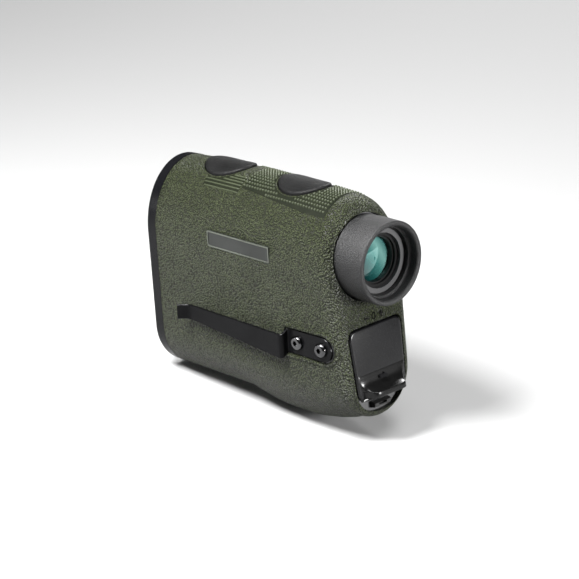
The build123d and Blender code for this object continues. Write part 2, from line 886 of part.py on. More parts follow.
with BuildPart() as ocular_retainer:
    with BuildSketch(across(-28.5)):
        with Locations((0, axis_height)):
            Circle(cell_bore)
            Circle(7.3, mode=Mode.SUBTRACT)
    extrude(amount=1.9)
save(ocular_retainer, "ocular_retainer")

# ------------------------------------------------------------ battery and its liner
with BuildPart() as battery_liner:
    with BuildSketch(across(liner_front_y)):
        with Locations((0, battery_z)):
            Circle(liner_radius)
    extrude(amount=liner_front_y - liner_rear_y)
    with BuildSketch(across(liner_front_y - 0.8)):
        with Locations((0, battery_z)):
            Circle(liner_bore)
    extrude(amount=40, mode=Mode.SUBTRACT)
save(battery_liner, "battery_liner")

with BuildPart() as battery:
    with BuildSketch(across(battery_front_y)):
        with Locations((0, battery_z)):
            Circle(battery_radius)
    extrude(amount=battery_front_y - battery_rear_y)
    fillet(battery.edges(), 0.5)
    with BuildSketch(across(battery_rear_y)):
        with Locations((0, battery_z)):
            Circle(3.2)
    extrude(amount=battery_rear_y - nub_rear_y)
save(battery, "battery")

with BuildPart() as battery_spring:
    with BuildLine() as coil:
        Helix(1.3, 3.9, 4.2, center=(0, battery_front_y + spring_wire, battery_z), direction=(0, 1, 0))
    with BuildSketch(Plane(origin=coil.line @ 0, z_dir=coil.line % 0)):
        Circle(spring_wire)
    sweep()
save(battery_spring, "battery_spring")

# ------------------------------------------------------------ battery door
with BuildPart() as battery_door:
    with BuildSketch(door_plane):
        add(shield(door_half_top, door_half_low, door_drop, 3.2))
    extrude(amount=-door_thickness)
    outer_rim = battery_door.faces().sort_by(Axis.Y)[0].edges()
    fillet(outer_rim.sort_by(Axis.Z)[-3:], 1.2)
    with BuildPart(mode=Mode.PRIVATE) as lip:
        with BuildSketch(door_side):
            with BuildLine():
                scoop = TangentArc((0, -15.2), (3.8, -20.4), tangent=(0, -1))
                Polyline(
                    scoop @ 1,
                    (3.9, -21.8),
                    (1.6, -22.6),
                    (0, -door_drop + 0.6),
                    (-door_thickness, -door_drop + 0.6),
                    (-door_thickness, -15.2),
                    scoop @ 0,
                )
            make_face()
        extrude(amount=10, both=True)
        with BuildSketch(door_plan):
            with BuildLine():
                Polyline(*lip_plan, *[(-x, out) for x, out in reversed(lip_plan)], close=True)
            make_face()
        extrude(amount=30, mode=Mode.INTERSECT)
    add(lip.part)
    with BuildSketch(door_side):
        with Locations((-pin_inset, -pin_inset)):
            Circle(knuckle_radius)
    extrude(amount=door_half_top - 1.6, both=True)
    with BuildSketch(door_side):
        with Locations((-door_thickness - 0.2, -door_drop - 0.1)):
            Rectangle(1.0, 1.0)
    extrude(amount=3.0, both=True)
    with BuildSketch(door_side):
        with Locations((-pin_inset, -pin_inset)):
            Circle(pin_radius + running_gap)
    extrude(amount=20, both=True, mode=Mode.SUBTRACT)
save(battery_door, "battery_door")

with BuildPart() as hinge_pin:
    with BuildSketch(door_side):
        with Locations((-pin_inset, -pin_inset)):
            Circle(pin_radius)
    extrude(amount=door_half_top + 1.8, both=True)
save(hinge_pin, "hinge_pin")

with BuildPart() as door_seal:
    with BuildSketch(door_plane.offset(-door_thickness)):
        with Locations((0, -contact_drop)):
            Circle(9.1)
            Circle(8.5, mode=Mode.SUBTRACT)
    extrude(amount=-0.7)
save(door_seal, "door_seal")

with BuildPart() as door_contact:
    with BuildSketch(door_plane.offset(-door_thickness)):
        with Locations((0, -contact_drop)):
            Circle(4.5)
    extrude(amount=-0.3)
    with BuildSketch(door_plane.offset(-door_thickness - 0.3)):
        with Locations((0, -contact_drop)):
            Circle(2.0)
    extrude(amount=-0.2)
save(door_contact, "door_contact")

with BuildPart() as door_catch:
    with BuildSketch(door_side):
        with BuildLine():
            Polyline(
                (-pocket_depth, -27.4),
                (-1.2, -27.2),
                (-0.9, -25.9),
                (-2.0, -25.2),
                (-pocket_depth, -25.2),
                close=True,
            )
        make_face()
    extrude(amount=3.6, both=True)
    with BuildSketch(door_plane.offset(4)):
        with Locations((0, -26.3)):
            SlotOverall(3.6, 0.8)
    extrude(amount=-6.4, mode=Mode.SUBTRACT)
save(door_catch, "door_catch")

# ------------------------------------------------------------ belt clip
seat_x = clip_face_x + clip_strip
arm_face_x = clip_face_x - clip_stand
with BuildPart() as clip_plate:
    with BuildSketch(Plane.YZ.offset(clip_face_x)):
        with BuildLine():
            rear_centre = clip_rear_y + clip_root_half
            ThreePointArc(
                (rear_centre, clip_z + clip_root_half),
                (clip_rear_y, clip_z),
                (rear_centre, clip_z - clip_root_half),
            )
            Polyline(
                (rear_centre, clip_z - clip_root_half),
                (clip_fold_y - 1.05, clip_z - clip_root_half),
                (clip_fold_y - 1.05, clip_z + clip_root_half),
                (rear_centre, clip_z + clip_root_half),
            )
        make_face()
        with Locations(*[(y, clip_z) for y in screw_stations]):
            Circle(1.4, mode=Mode.SUBTRACT)
    extrude(amount=clip_strip)
save(clip_plate, "clip_plate")

with BuildPart() as clip_arm:
    with BuildSketch(Plane.XY.offset(clip_z - 7)):
        with BuildLine():
            Polyline(
                (seat_x, clip_fold_y - 0.9),
                (seat_x, clip_fold_y),
                (arm_face_x + clip_strip, clip_fold_y),
                (-17.95, clip_contact_y),
                (-21.0, clip_tip_y),
                (-21.65, clip_tip_y - 0.6),
                (-18.85, clip_contact_y - 0.4),
                (arm_face_x, clip_fold_y),
                (arm_face_x, clip_fold_y - 0.9),
                close=True,
            )
        make_face()
    extrude(amount=14)
    with BuildSketch(Plane.YZ.offset(-30)):
        with BuildLine():
            Polyline(
                (clip_fold_y - 2, clip_z - clip_root_low),
                (clip_fold_y, clip_z - clip_root_low),
                (clip_contact_y, clip_z - clip_end_half),
                (clip_tip_y + 1, clip_z - clip_end_half - 0.3),
                (clip_tip_y + 1, clip_z + clip_end_half - 0.3),
                (clip_contact_y, clip_z + clip_end_half),
                (clip_fold_y + 0.02, clip_z + clip_root_high),
                (clip_fold_y + 0.02, clip_z + clip_root_half),
                (clip_fold_y - 2, clip_z + clip_root_half),
                close=True,
            )
        make_face()
    extrude(amount=30, mode=Mode.INTERSECT)
    with BuildSketch(across(clip_fold_y + 0.02)):
        for edge, turned in ((-clip_root_half, -clip_root_low), (clip_root_half, clip_root_high)):
            far = 2 * edge
            with BuildLine():
                Polyline(
                    (-14, clip_z + far),
                    (-14, clip_z + edge),
                    (-17.9, clip_z + edge),
                    (arm_face_x, clip_z + turned),
                    (arm_face_x - 1, clip_z + far),
                    close=True,
                )
            make_face()
    extrude(amount=3, mode=Mode.SUBTRACT)
save(clip_arm, "clip_arm")

with BuildPart() as clip_screws:
    with BuildSketch(Plane.YZ.offset(clip_face_x - 1.3)):
        with Locations(*[(y, clip_z) for y in screw_stations]):
            Circle(2.35)
    extrude(amount=1.3)
    fillet(clip_screws.edges().group_by(Axis.X)[0], 0.9)
    with BuildSketch(Plane.YZ.offset(clip_face_x)):
        with Locations(*[(y, clip_z) for y in screw_stations]):
            Circle(1.25)
    extrude(amount=4.4)
    with BuildSketch(Plane.YZ.offset(clip_face_x - 1.3)):
        with Locations(*[(y, clip_z) for y in screw_stations]):
            RegularPolygon(0.95, 6)
    extrude(amount=0.9, mode=Mode.SUBTRACT)
save(clip_screws, "clip_screws")

with BuildPart() as clip_inserts:
    with BuildSketch(Plane.YZ.offset(seat_x)):
        with Locations(*[(y, clip_z) for y in screw_stations]):
            Circle(insert_radius)
            Circle(1.25, mode=Mode.SUBTRACT)
    extrude(amount=insert_length)
save(clip_inserts, "clip_inserts")
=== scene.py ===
import bpy
import bmesh
import json
from math import atan, cos, pi, radians, sin, sqrt, tan
from mathutils import Matrix, Vector


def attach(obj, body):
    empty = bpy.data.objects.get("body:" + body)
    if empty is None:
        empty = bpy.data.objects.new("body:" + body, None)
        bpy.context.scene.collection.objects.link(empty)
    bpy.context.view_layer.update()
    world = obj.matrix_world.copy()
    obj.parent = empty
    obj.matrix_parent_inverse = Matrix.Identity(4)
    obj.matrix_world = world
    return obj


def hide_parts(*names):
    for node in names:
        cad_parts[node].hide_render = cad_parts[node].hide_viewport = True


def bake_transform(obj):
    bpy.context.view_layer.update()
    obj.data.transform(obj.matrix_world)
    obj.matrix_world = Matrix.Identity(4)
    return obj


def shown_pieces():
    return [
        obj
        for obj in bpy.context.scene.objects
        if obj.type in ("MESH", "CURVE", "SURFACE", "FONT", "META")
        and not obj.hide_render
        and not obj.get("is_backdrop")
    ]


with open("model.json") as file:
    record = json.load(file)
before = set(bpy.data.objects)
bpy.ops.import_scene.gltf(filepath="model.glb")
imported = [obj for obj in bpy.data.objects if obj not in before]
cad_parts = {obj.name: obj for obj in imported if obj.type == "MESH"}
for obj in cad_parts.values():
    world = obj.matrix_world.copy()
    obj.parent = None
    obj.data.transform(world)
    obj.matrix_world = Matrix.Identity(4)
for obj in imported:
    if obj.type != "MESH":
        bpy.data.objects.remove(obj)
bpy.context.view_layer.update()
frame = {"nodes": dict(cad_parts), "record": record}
nodes = frame["nodes"]
scene = bpy.context.scene
mm = 0.001
opticalZ = 57.5
print("frame loaded,", len(nodes), "pieces")


# small helpers, lengths in millimetres until the mesh is made

def newObject(name, data):
    thing = bpy.data.objects.new(name, data)
    scene.collection.objects.link(thing)
    return thing


def smoothed(thing, angle=35.0):
    for face in thing.data.polygons:
        face.use_smooth = True
    thing.data.set_sharp_from_angle(angle=radians(angle))
    return thing


def meshObject(name, points, faces, angle=35.0):
    mesh = bpy.data.meshes.new(name)
    mesh.from_pydata([tuple(mm * c for c in p) for p in points], [], faces)
    work = bmesh.new()
    work.from_mesh(mesh)
    bmesh.ops.remove_doubles(work, verts=work.verts, dist=0.000002)
    bmesh.ops.recalc_face_normals(work, faces=work.faces)
    work.to_mesh(mesh)
    work.free()
    return smoothed(newObject(name, mesh), angle)


def applied(thing, angle=35.0):  # modifiers baked into a plain mesh
    graph = bpy.context.evaluated_depsgraph_get()
    baked = bpy.data.meshes.new_from_object(thing.evaluated_get(graph))
    thing.modifiers.clear()
    thing.data = baked
    return smoothed(thing, angle)


def bevelled(thing, width, segments=3, angle=35.0):
    edgeRound = thing.modifiers.new("edgeRound", "BEVEL")
    edgeRound.width = width * mm
    edgeRound.segments = segments
    edgeRound.limit_method = "ANGLE"
    edgeRound.angle_limit = radians(30)
    return applied(thing, angle)


def cut(thing, cutters, angle=35.0):
    for cutter in cutters:
        knife = thing.modifiers.new("cut", "BOOLEAN")
        knife.operation = "DIFFERENCE"
        knife.solver = "EXACT"
        knife.object = cutter
    applied(thing, angle)
    for cutter in cutters:
        bpy.data.objects.remove(cutter)
    return thing


def rowFaces(rows, around, closed=True):
    faces = []
    for i in range(rows - 1):
        for j in range(around if closed else around - 1):
            k = (j + 1) % around
            faces.append((i * around + j, i * around + k, (i + 1) * around + k, (i + 1) * around + j))
    return faces


def ovalOutline(wide, tall, steps):
    return [(wide * cos(2 * pi * i / steps), tall * sin(2 * pi * i / steps)) for i in range(steps)]


def prism(name, outline, place, low, high):  # closed outline pushed along one direction
    count = len(outline)
    points = [place(u, v, low) for u, v in outline] + [place(u, v, high) for u, v in outline]
    faces = rowFaces(2, count) + [tuple(range(count)), tuple(range(2 * count - 1, count - 1, -1))]
    return meshObject(name, points, faces)


def lathe(name, profile, centreZ, steps=160, angle=30.0):  # profile of (y, radius), closed on itself
    points = []
    for y, radius in profile:
        for j in range(steps):
            turn = 2 * pi * j / steps
            points.append((radius * sin(turn), y, centreZ + radius * cos(turn)))
    count = len(profile)
    faces = rowFaces(count, steps)
    last = (count - 1) * steps
    faces += [(last + j, last + (j + 1) % steps, (j + 1) % steps, j) for j in range(steps)]
    return meshObject(name, points, faces, angle)


def roundedPath(corners, radius, steps=5, closed=True):  # corners of a 2-D outline turned into arcs
    result = []
    count = len(corners)
    for i, corner in enumerate(corners):
        here = Vector(corner)
        if not closed and i in (0, count - 1):
            result.append(tuple(here))
            continue
        before = Vector(corners[i - 1]) - here
        after = Vector(corners[(i + 1) % count]) - here
        wanted = radius[i] if isinstance(radius, (list, tuple)) else radius
        reach = min(wanted, before.length * 0.49, after.length * 0.49)
        start = here + before.normalized() * reach
        end = here + after.normalized() * reach
        for s in range(steps + 1):
            t = s / steps
            result.append(tuple(start * (1 - t) ** 2 + here * 2 * t * (1 - t) + end * t ** 2))
    return result


# camera, set from the way the rangefinder lies: nose down on its front lower edge

cameraLook = {"azimuth": -44.0, "elevation": 22.3, "noseDown": 4.1, "distance": 915.0, "lens": 174.1,
              "aim": (0.0, 11.0, 39.2), "shift": (0.0033, -0.0043)}


def placeCamera(look):
    a, e = radians(look["azimuth"]), radians(look["elevation"])
    tilt = Matrix.Rotation(radians(look["noseDown"]), 3, "X")
    back = tilt @ Vector((sin(a) * cos(e), -cos(a) * cos(e), sin(e)))
    right = tilt @ Vector((cos(a), sin(a), 0))
    up = tilt @ Vector((-sin(a) * sin(e), cos(a) * sin(e), cos(e)))
    cameraData = bpy.data.cameras.new("camera")
    cameraData.lens = look["lens"]
    cameraData.shift_x, cameraData.shift_y = look["shift"]
    cameraData.clip_start, cameraData.clip_end = 0.05, 20
    camera = newObject("camera", cameraData)
    turn = Matrix((right, up, back)).transposed().to_4x4()
    camera.matrix_world = Matrix.Translation((Vector(look["aim"]) + look["distance"] * back) * mm) @ turn
    scene.camera = camera
    return tilt @ Vector((0, 0, 1))


worldUp = placeCamera(cameraLook)


# body form, the same sections as the armour

bodyForm = {
    "shoulderZ": 54.0, "keelZ": 20.0, "pivotZ": 40.0, "rearY": -28.0, "rearLean": 6.3, "rearRound": 4.9,
    "seamY": 55.3, "wall": 1.5,
    # y, share of the lean, half width at shoulder, half width at keel, crown, underside
    "stations": (
        (60.0, 0.0, 17.1, 16.4, 76.2, 3.3), (40.0, 0.0, 17.5, 16.7, 77.2, 3.2),
        (19.5, 0.0, 17.6, 16.8, 77.4, 3.0), (16.5, 0.0, 17.6, 16.8, 77.35, 2.2),
        (12.5, 0.0, 17.6, 16.8, 77.3, 1.1), (8.0, 0.0, 17.6, 16.8, 77.3, 0.2),
        (3.0, 0.0, 17.6, 16.8, 77.25, -0.3), (-5.0, 0.2, 17.6, 16.7, 77.2, -0.35),
        (-12.0, 0.5, 17.5, 16.2, 77.1, 0.6), (-18.0, 0.8, 17.4, 15.8, 77.0, 2.2),
        (-23.1, 1.0, 17.3, 15.4, 77.0, 4.0)),
}


def stationAt(y):  # smooth values between the stations
    table = bodyForm["stations"]
    y = min(max(y, table[-1][0]), table[0][0])
    i = max(k for k in range(len(table) - 1) if table[k][0] >= y)
    span = table[i + 1][0] - table[i][0]
    t = (y - table[i][0]) / span

    def slope(k, column):
        if k == 0 or k == len(table) - 1:
            return 0.0
        before = (table[k][column] - table[k - 1][column]) / (table[k][0] - table[k - 1][0])
        after = (table[k + 1][column] - table[k][column]) / (table[k + 1][0] - table[k][0])
        return 0.0 if before * after <= 0 else 2 * before * after / (before + after)

    values = []
    for column in range(1, 6):
        p0, p1 = table[i][column], table[i + 1][column]
        m0, m1 = slope(i, column) * span, slope(i + 1, column) * span
        values.append((2 * t**3 - 3 * t**2 + 1) * p0 + (t**3 - 2 * t**2 + t) * m0
                      + (3 * t**2 - 2 * t**3) * p1 + (t**3 - t**2) * m1)
    return values


def ovalRow(y, share, a, b, crown, low, counts=(110, 40, 90, 40)):
    form = bodyForm
    rise, drop, apart = crown - form["shoulderZ"], form["keelZ"] - low, form["shoulderZ"] - form["keelZ"]
    slope = 0.0
    for _ in range(6):
        slope = (sqrt(a * a + (rise * slope) ** 2) - sqrt(b * b + (drop * slope) ** 2)) / apart
    upper, lower = atan(slope * rise / a), atan(slope * drop / b)
    flat = []
    for i in range(counts[0]):
        turn = -upper + (pi + 2 * upper) * i / counts[0]
        flat.append((a * cos(turn), form["shoulderZ"] - form["pivotZ"] + rise * sin(turn)))
    leftTop = (-a * cos(upper), form["shoulderZ"] - form["pivotZ"] - rise * sin(upper))
    leftLow = (-b * cos(lower), form["keelZ"] - form["pivotZ"] - drop * sin(lower))
    for i in range(counts[1]):
        t = i / counts[1]
        flat.append((leftTop[0] * (1 - t) + leftLow[0] * t, leftTop[1] * (1 - t) + leftLow[1] * t))
    for i in range(counts[2]):
        turn = pi + lower + (pi - 2 * lower) * i / counts[2]
        flat.append((b * cos(turn), form["keelZ"] - form["pivotZ"] + drop * sin(turn)))
    for i in range(counts[3]):
        t = i / counts[3]
        flat.append((-leftLow[0] * (1 - t) - leftTop[0] * t, leftLow[1] * (1 - t) + leftTop[1] * t))
    tilt = radians(form["rearLean"] * share)
    return [(x, y + v * sin(tilt), max(form["pivotZ"] + v * cos(tilt), 0.0)) for x, v in flat]


def formRows(inset, frontY, step=0.8):
    rows = []
    rearStart = bodyForm["rearY"] + bodyForm["rearRound"]
    count = int((frontY - rearStart) / step)
    for i in range(count + 1):
        y = frontY - (frontY - rearStart) * i / count
        share, a, b, crown, low = stationAt(y)
        rows.append(ovalRow(y, share, a - inset, b - inset, crown - inset, low + inset))
    radius = bodyForm["rearRound"] - inset
    share, a, b, crown, low = stationAt(rearStart)
    for i in range(1, 13):
        turn = radians(i * 88 / 12)
        draw = inset + radius * (1 - cos(turn))
        y = rearStart - radius * sin(turn)
        rows.append(ovalRow(y, 1.0, a - draw, b - draw, crown - draw, low + draw))
    return rows


def crownPoint(x, y):  # point on top of the armour above x, y
    base = y
    for _ in range(4):
        share, a, b, crown, low = stationAt(base)
        rise = crown - bodyForm["shoulderZ"]
        v = bodyForm["shoulderZ"] - bodyForm["pivotZ"] + rise * sqrt(max(0.0, 1 - (x / a) ** 2))
        tilt = radians(bodyForm["rearLean"] * share)
        base = y - v * sin(tilt)
    return Vector((x, y, bodyForm["pivotZ"] + v * cos(tilt)))


def crownNormal(x, y):
    along = crownPoint(x, y + 0.2) - crownPoint(x, y - 0.2)
    over = crownPoint(x + 0.2, y) - crownPoint(x - 0.2, y)
    return over.cross(along).normalized()


def sideX(y, z):  # outside of the armour on the user's left at y, z
    share, a, b, crown, low = stationAt(y)
    t = (bodyForm["shoulderZ"] - z) / (bodyForm["shoulderZ"] - bodyForm["keelZ"])
    return -(a * (1 - t) + b * t)


# battery door plane: its own up and outward directions

doorForm = {"topY": -28.75, "topZ": 35.6, "lean": 7.0, "halfTop": 11.8, "halfLow": 10.5, "drop": 24.0,
            "thick": 2.2, "edgeRound": 0.8, "gap": 0.45, "pocketDrop": 28.2, "pocketCorner": 9.2,
            "pocketCut": (-4.2, 8.0), "pinInset": 1.8, "knuckleRadius": 1.65, "knuckleHalf": 10.2}


def doorPlace(x, drop, out):  # x across, drop down from the top edge, out from the outer face
    lean = radians(doorForm["lean"])
    y = doorForm["topY"] - drop * sin(lean) - out * cos(lean)
    z = doorForm["topZ"] - drop * cos(lean) + out * sin(lean)
    return (x, y, z)


def shieldOutline(halfTop, halfLow, drop, corner, grow=0.0):
    corners = [(-halfTop - grow, -grow), (halfTop + grow, -grow),
               (halfLow + grow, drop + grow), (-halfLow - grow, drop + grow)]
    return roundedPath(corners, [3.4, 3.4, corner * 1.3, corner * 1.3], 8)


# armour sleeve with its openings

armourLook = {"eyeSeat": 14.1, "buttonLong": 10.0, "buttonWide": 7.9, "measureY": 35.0, "menuY": 0.3,
              "clipZ": 29.7, "clipRear": -25.6, "clipFront": -4.4, "clipHalf": 4.45,
              "badgeY": (0.0, 29.6), "badgeZ": (54.0, 60.0), "badgeDepth": 0.75,
              "eyeCut": (-40.0, -14.0), "buttonCut": (67.5, 90.0), "clipCut": (-30.0, -13.4)}


def makeSleeve(look):
    outer = formRows(0.0, bodyForm["seamY"])
    inner = formRows(bodyForm["wall"] + 0.03, bodyForm["seamY"])
    around = len(outer[0])
    points = [p for row in outer for p in row] + [p for row in inner for p in row]
    first = len(outer) * around
    faces = rowFaces(len(outer), around)
    faces += [tuple(first + i for i in reversed(f)) for f in rowFaces(len(inner), around)]
    faces.append(tuple((len(outer) - 1) * around + j for j in range(around)))
    faces.append(tuple(first + (len(inner) - 1) * around + j for j in reversed(range(around))))
    faces += [(j, (j + 1) % around, first + (j + 1) % around, first + j) for j in range(around)]
    mesh = bpy.data.meshes.new("armourSleeve")
    mesh.from_pydata([tuple(mm * c for c in p) for p in points], [], faces)
    sleeve = newObject("armourSleeve", mesh)
    circle = ovalOutline(look["eyeSeat"], look["eyeSeat"], 128)
    cutters = [prism("eyeCutter", circle, lambda u, v, h: (u, h, opticalZ + v), *look["eyeCut"])]
    for name, y in (("measureCutter", look["measureY"]), ("menuCutter", look["menuY"])):
        oval = ovalOutline(look["buttonWide"], look["buttonLong"], 96)
        cutters.append(prism(name, oval, lambda u, v, h, y=y: (u, y + v, h), *look["buttonCut"]))
    outline = shieldOutline(doorForm["halfTop"], doorForm["halfLow"], doorForm["pocketDrop"],
                            doorForm["pocketCorner"], doorForm["gap"])
    cutters.append(prism("doorCutter", outline, doorPlace, *doorForm["pocketCut"]))
    cutters.append(prism("clipCutter", clipWindow(look), lambda u, v, h: (h, u, v), *look["clipCut"]))
    y0, y1 = look["badgeY"]
    z0, z1 = look["badgeZ"]
    badge = roundedPath([(y0, z0), (y1, z0), (y1, z1), (y0, z1)], 0.5, 4)
    floorX = sideX(15, 57) + look["badgeDepth"]
    cutters.append(prism("badgeCutter", badge, lambda u, v, h: (h, u, v), -30, floorX))
    cut(sleeve, cutters, 28)
    return sleeve


def clipWindow(look, grow=0.0):
    half = look["clipHalf"] + grow
    rear = look["clipRear"] + look["clipHalf"] - 0.35
    front = look["clipFront"] + grow
    outline = [(front, look["clipZ"] - half), (front, look["clipZ"] + half)]
    outline += [(rear - half * sin(pi * i / 24), look["clipZ"] + half * cos(pi * i / 24)) for i in range(25)]
    return outline


sleeve = makeSleeve(armourLook)
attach(sleeve, "housing")
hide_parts("armor_sleeve")
print("armour sleeve:", len(sleeve.data.polygons), "faces")


# grip on the crown: rows of beads round the rear button, ribs beside the front one

gripLook = {"beadFront": 19.6, "beadRear": -18.4, "rowPitch": 1.24, "acrossPitch": 1.2, "beadLong": 0.66,
            "beadWide": 0.5, "beadTall": 0.5, "ribFront": 38.6, "ribRear": 20.7, "ribInner": 6.0,
            "ribOuter": 10.9, "ribPitch": 0.98, "ribHalf": 0.3, "ribTall": 0.42,
            "buttonMargin": 0.9, "bedMargin": 0.45}


def outsideOval(x, y, centreY, margin):
    across = x / (armourLook["buttonWide"] + margin)
    along = (y - centreY) / (armourLook["buttonLong"] + margin)
    return across ** 2 + along ** 2 > 1


def beadLimit(y):  # how far the bead field reaches down each side
    if y > 0:
        return 10.2 - 1.4 * y / 20
    return 10.2 + 0.5 * min(1, -y / 9) - 0.3 * max(0, (-y - 9) / 12)


def makeBeads(look):
    points, faces = [], []
    rows = int((look["beadFront"] - look["beadRear"]) / look["rowPitch"])
    rings, around = 3, 8
    for r in range(rows + 1):
        y = look["beadFront"] - r * look["rowPitch"]
        reach = beadLimit(y)
        for c in range(-11, 12):
            x = c * look["acrossPitch"]
            if abs(x) > reach or not outsideOval(x, y, armourLook["menuY"], look["buttonMargin"]):
                continue
            if not outsideOval(x, y, armourLook["measureY"], look["buttonMargin"]):
                continue
            centre, up = crownPoint(x, y), crownNormal(x, y)
            side = Vector((0, 1, 0)).cross(up).normalized()
            along = up.cross(side)
            base = len(points)
            points.append(centre + up * look["beadTall"])
            for k in range(1, rings + 1):
                spread = k / rings
                tall = look["beadTall"] * sqrt(max(0, 1 - spread**2.2)) - (0.12 if k == rings else 0)
                for j in range(around):
                    turn = 2 * pi * j / around
                    points.append(centre + up * tall + side * look["beadWide"] * spread * cos(turn)
                                  + along * look["beadLong"] * 0.72 * spread * sin(turn))
            for j in range(around):
                n = (j + 1) % around
                faces.append((base, base + 1 + j, base + 1 + n))
                for k in range(rings - 1):
                    a = base + 1 + k * around
                    faces.append((a + j, a + around + j, a + around + n, a + n))
            faces.append(tuple(base + 1 + (rings - 1) * around + j for j in reversed(range(around))))
    return meshObject("gripBeads", points, faces, 60)


def makeRibs(look):
    points, faces = [], []
    count = int((look["ribOuter"] - look["ribInner"]) / look["ribPitch"]) + 1
    section = [(-1.0, -0.25), (-0.8, 0.45), (-0.35, 0.9), (0.35, 0.9), (0.8, 0.45), (1.0, -0.25)]
    for flank in (-1, 1):
        for i in range(count):
            x = flank * (look["ribInner"] + i * look["ribPitch"])
            front = look["ribFront"] - 0.35 * i
            stops = [front - (front - look["ribRear"]) * s / 40 for s in range(41)]
            kept = [y for y in stops if outsideOval(x, y, armourLook["measureY"], look["buttonMargin"])]
            groups, group = [], []
            for y in stops:
                if y in kept:
                    group.append(y)
                elif group:
                    groups.append(group)
                    group = []
            groups.append(group)
            for group in groups:
                if len(group) < 3:
                    continue
                base = len(points)
                for s, y in enumerate(group):
                    fade = 0.2 if s in (0, len(group) - 1) else 1.0
                    centre, up = crownPoint(x, y), crownNormal(x, y)
                    side = Vector((0, 1, 0)).cross(up).normalized()
                    for u, v in section:
                        points.append(centre + side * look["ribHalf"] * u * (0.5 + 0.5 * fade)
                                      + up * look["ribTall"] * v * fade)
                around = len(section)
                last = base + (len(group) - 1) * around
                faces += [tuple(base + k for k in f) for f in rowFaces(len(group), around)]
                faces.append(tuple(base + k for k in range(around)))
                faces.append(tuple(last + k for k in reversed(range(around))))
    return meshObject("gripRibs", points, faces, 60)


def crownPatch(name, span, reach):  # thin skin on the crown: stations, inner and outer reach at y
    points, rows, columns = [], 60, 25
    for high in (0.04, -0.2):
        for i in range(rows):
            y = span[0] + (span[1] - span[0]) * i / (rows - 1)
            x0, x1 = reach(y)
            for j in range(columns):
                x = x0 + (x1 - x0) * j / (columns - 1)
                points.append(crownPoint(x, y) + crownNormal(x, y) * high)
    half = rows * columns
    faces = rowFaces(rows, columns, closed=False)
    faces += [tuple(half + k for k in reversed(f)) for f in rowFaces(rows, columns, closed=False)]
    border = list(range(columns)) + [i * columns + columns - 1 for i in range(1, rows)]
    border += [(rows - 1) * columns + j for j in range(columns - 2, -1, -1)]
    border += [i * columns for i in range(rows - 2, 0, -1)]
    for a, b in zip(border, border[1:] + border[:1]):
        faces.append((a, b, half + b, half + a))
    return meshObject(name, points, faces, 40)


# near-black sheets laid on the crown under the bead field and the ribs: painted shade between the beads and
# ribs
def makeGripBeds(look):
    span = (look["beadFront"] + 0.6, look["beadRear"] - 0.6)
    made = [crownPatch("beadBed", span, lambda y: (-beadLimit(y) - 0.5, beadLimit(y) + 0.5))]
    span = (look["ribFront"] - 1.2, look["ribRear"] + 0.1)
    for flank in (-1, 1):
        near, far = flank * (look["ribInner"] - 0.4), flank * (look["ribOuter"] + 0.1)
        name = "ribBedLeft" if flank < 0 else "ribBedRight"
        made.append(crownPatch(name, span, lambda y: (min(near, far), max(near, far))))
    for bed in made:
        for centreY in (armourLook["measureY"], armourLook["menuY"]):
            wide = armourLook["buttonWide"] + look["bedMargin"]
            oval = ovalOutline(wide, armourLook["buttonLong"] + look["bedMargin"], 96)
            cut(bed, [prism("bedCutter", oval, lambda u, v, h: (u, centreY + v, h), 62, 90)], 40)
    return made


gripBeds = makeGripBeds(gripLook)
for grip in (makeBeads(gripLook), makeRibs(gripLook), *gripBeds):
    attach(grip, "housing")
print("crown grip made")


# raised lip of armour round the clip plate

lipLook = {"radius": 0.85, "sink": 0.25, "grow": 0.75, "reachFront": 0.5}


def tube(name, path, radius, closed, sides=10):  # round bar along points
    points, count = [], len(path)
    for i, p in enumerate(path):
        before = Vector(path[(i - 1) % count] if closed or i else path[0])
        after = Vector(path[(i + 1) % count] if closed or i < count - 1 else path[-1])
        ahead = (after - before).normalized()
        side = ahead.cross(Vector((1, 0.02, 0.03))).normalized()
        up = side.cross(ahead)
        reach = radius[i] if isinstance(radius, list) else radius
        for k in range(sides):
            turn = 2 * pi * k / sides
            points.append(Vector(p) + reach * (side * cos(turn) + up * sin(turn)))
    faces = rowFaces(count, sides)
    last = (count - 1) * sides
    if closed:
        faces += [(last + k, last + (k + 1) % sides, (k + 1) % sides, k) for k in range(sides)]
    else:
        faces += [tuple(range(sides)), tuple(last + k for k in reversed(range(sides)))]
    return meshObject(name, points, faces, 60)


def makeClipLip(look):
    window = clipWindow(armourLook, look["grow"])[1:]
    front, high = armourLook["clipFront"] + look["reachFront"], window[0][1]
    flat = [(front, high)] + window[1:] + [(front, 2 * armourLook["clipZ"] - high)]
    dense = []
    for i in range(len(flat) - 1):
        (y0, z0), (y1, z1) = flat[i], flat[i + 1]
        parts = max(1, int(sqrt((y1 - y0) ** 2 + (z1 - z0) ** 2) / 0.6))
        dense += [(y0 + (y1 - y0) * s / parts, z0 + (z1 - z0) * s / parts) for s in range(parts)]
    dense.append(flat[-1])
    path = [(sideX(y, z) + look["sink"] + rearTuck(y), y, z) for y, z in dense]
    count = len(path)
    radius = [look["radius"] * min(1.0, 0.15 + i / 6, 0.15 + (count - 1 - i) / 6) for i in range(count)]
    return tube("clipLip", path, radius, False)


def rearTuck(y):  # the side starts to turn in towards the rear face
    rearStart = bodyForm["rearY"] + bodyForm["rearRound"]
    behind = max(0.0, rearStart - y - 0.8)
    radius = bodyForm["rearRound"]
    return radius - sqrt(max(0.0, radius**2 - min(behind, radius) ** 2))


clipLip = makeClipLip(lipLook)
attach(clipLip, "housing")
print("clip lip made")


# oval buttons with a rounded shoulder and a shallow dished field

buttonLook = {"long": 9.6, "wide": 7.5, "proud": 0.75, "deep": 0.75, "rimShare": 0.8, "rimBlend": 0.03,
              "dish": 0.16, "shoulderShare": 0.93, "shoulderRings": 8, "shoulderDrop": 0.55}


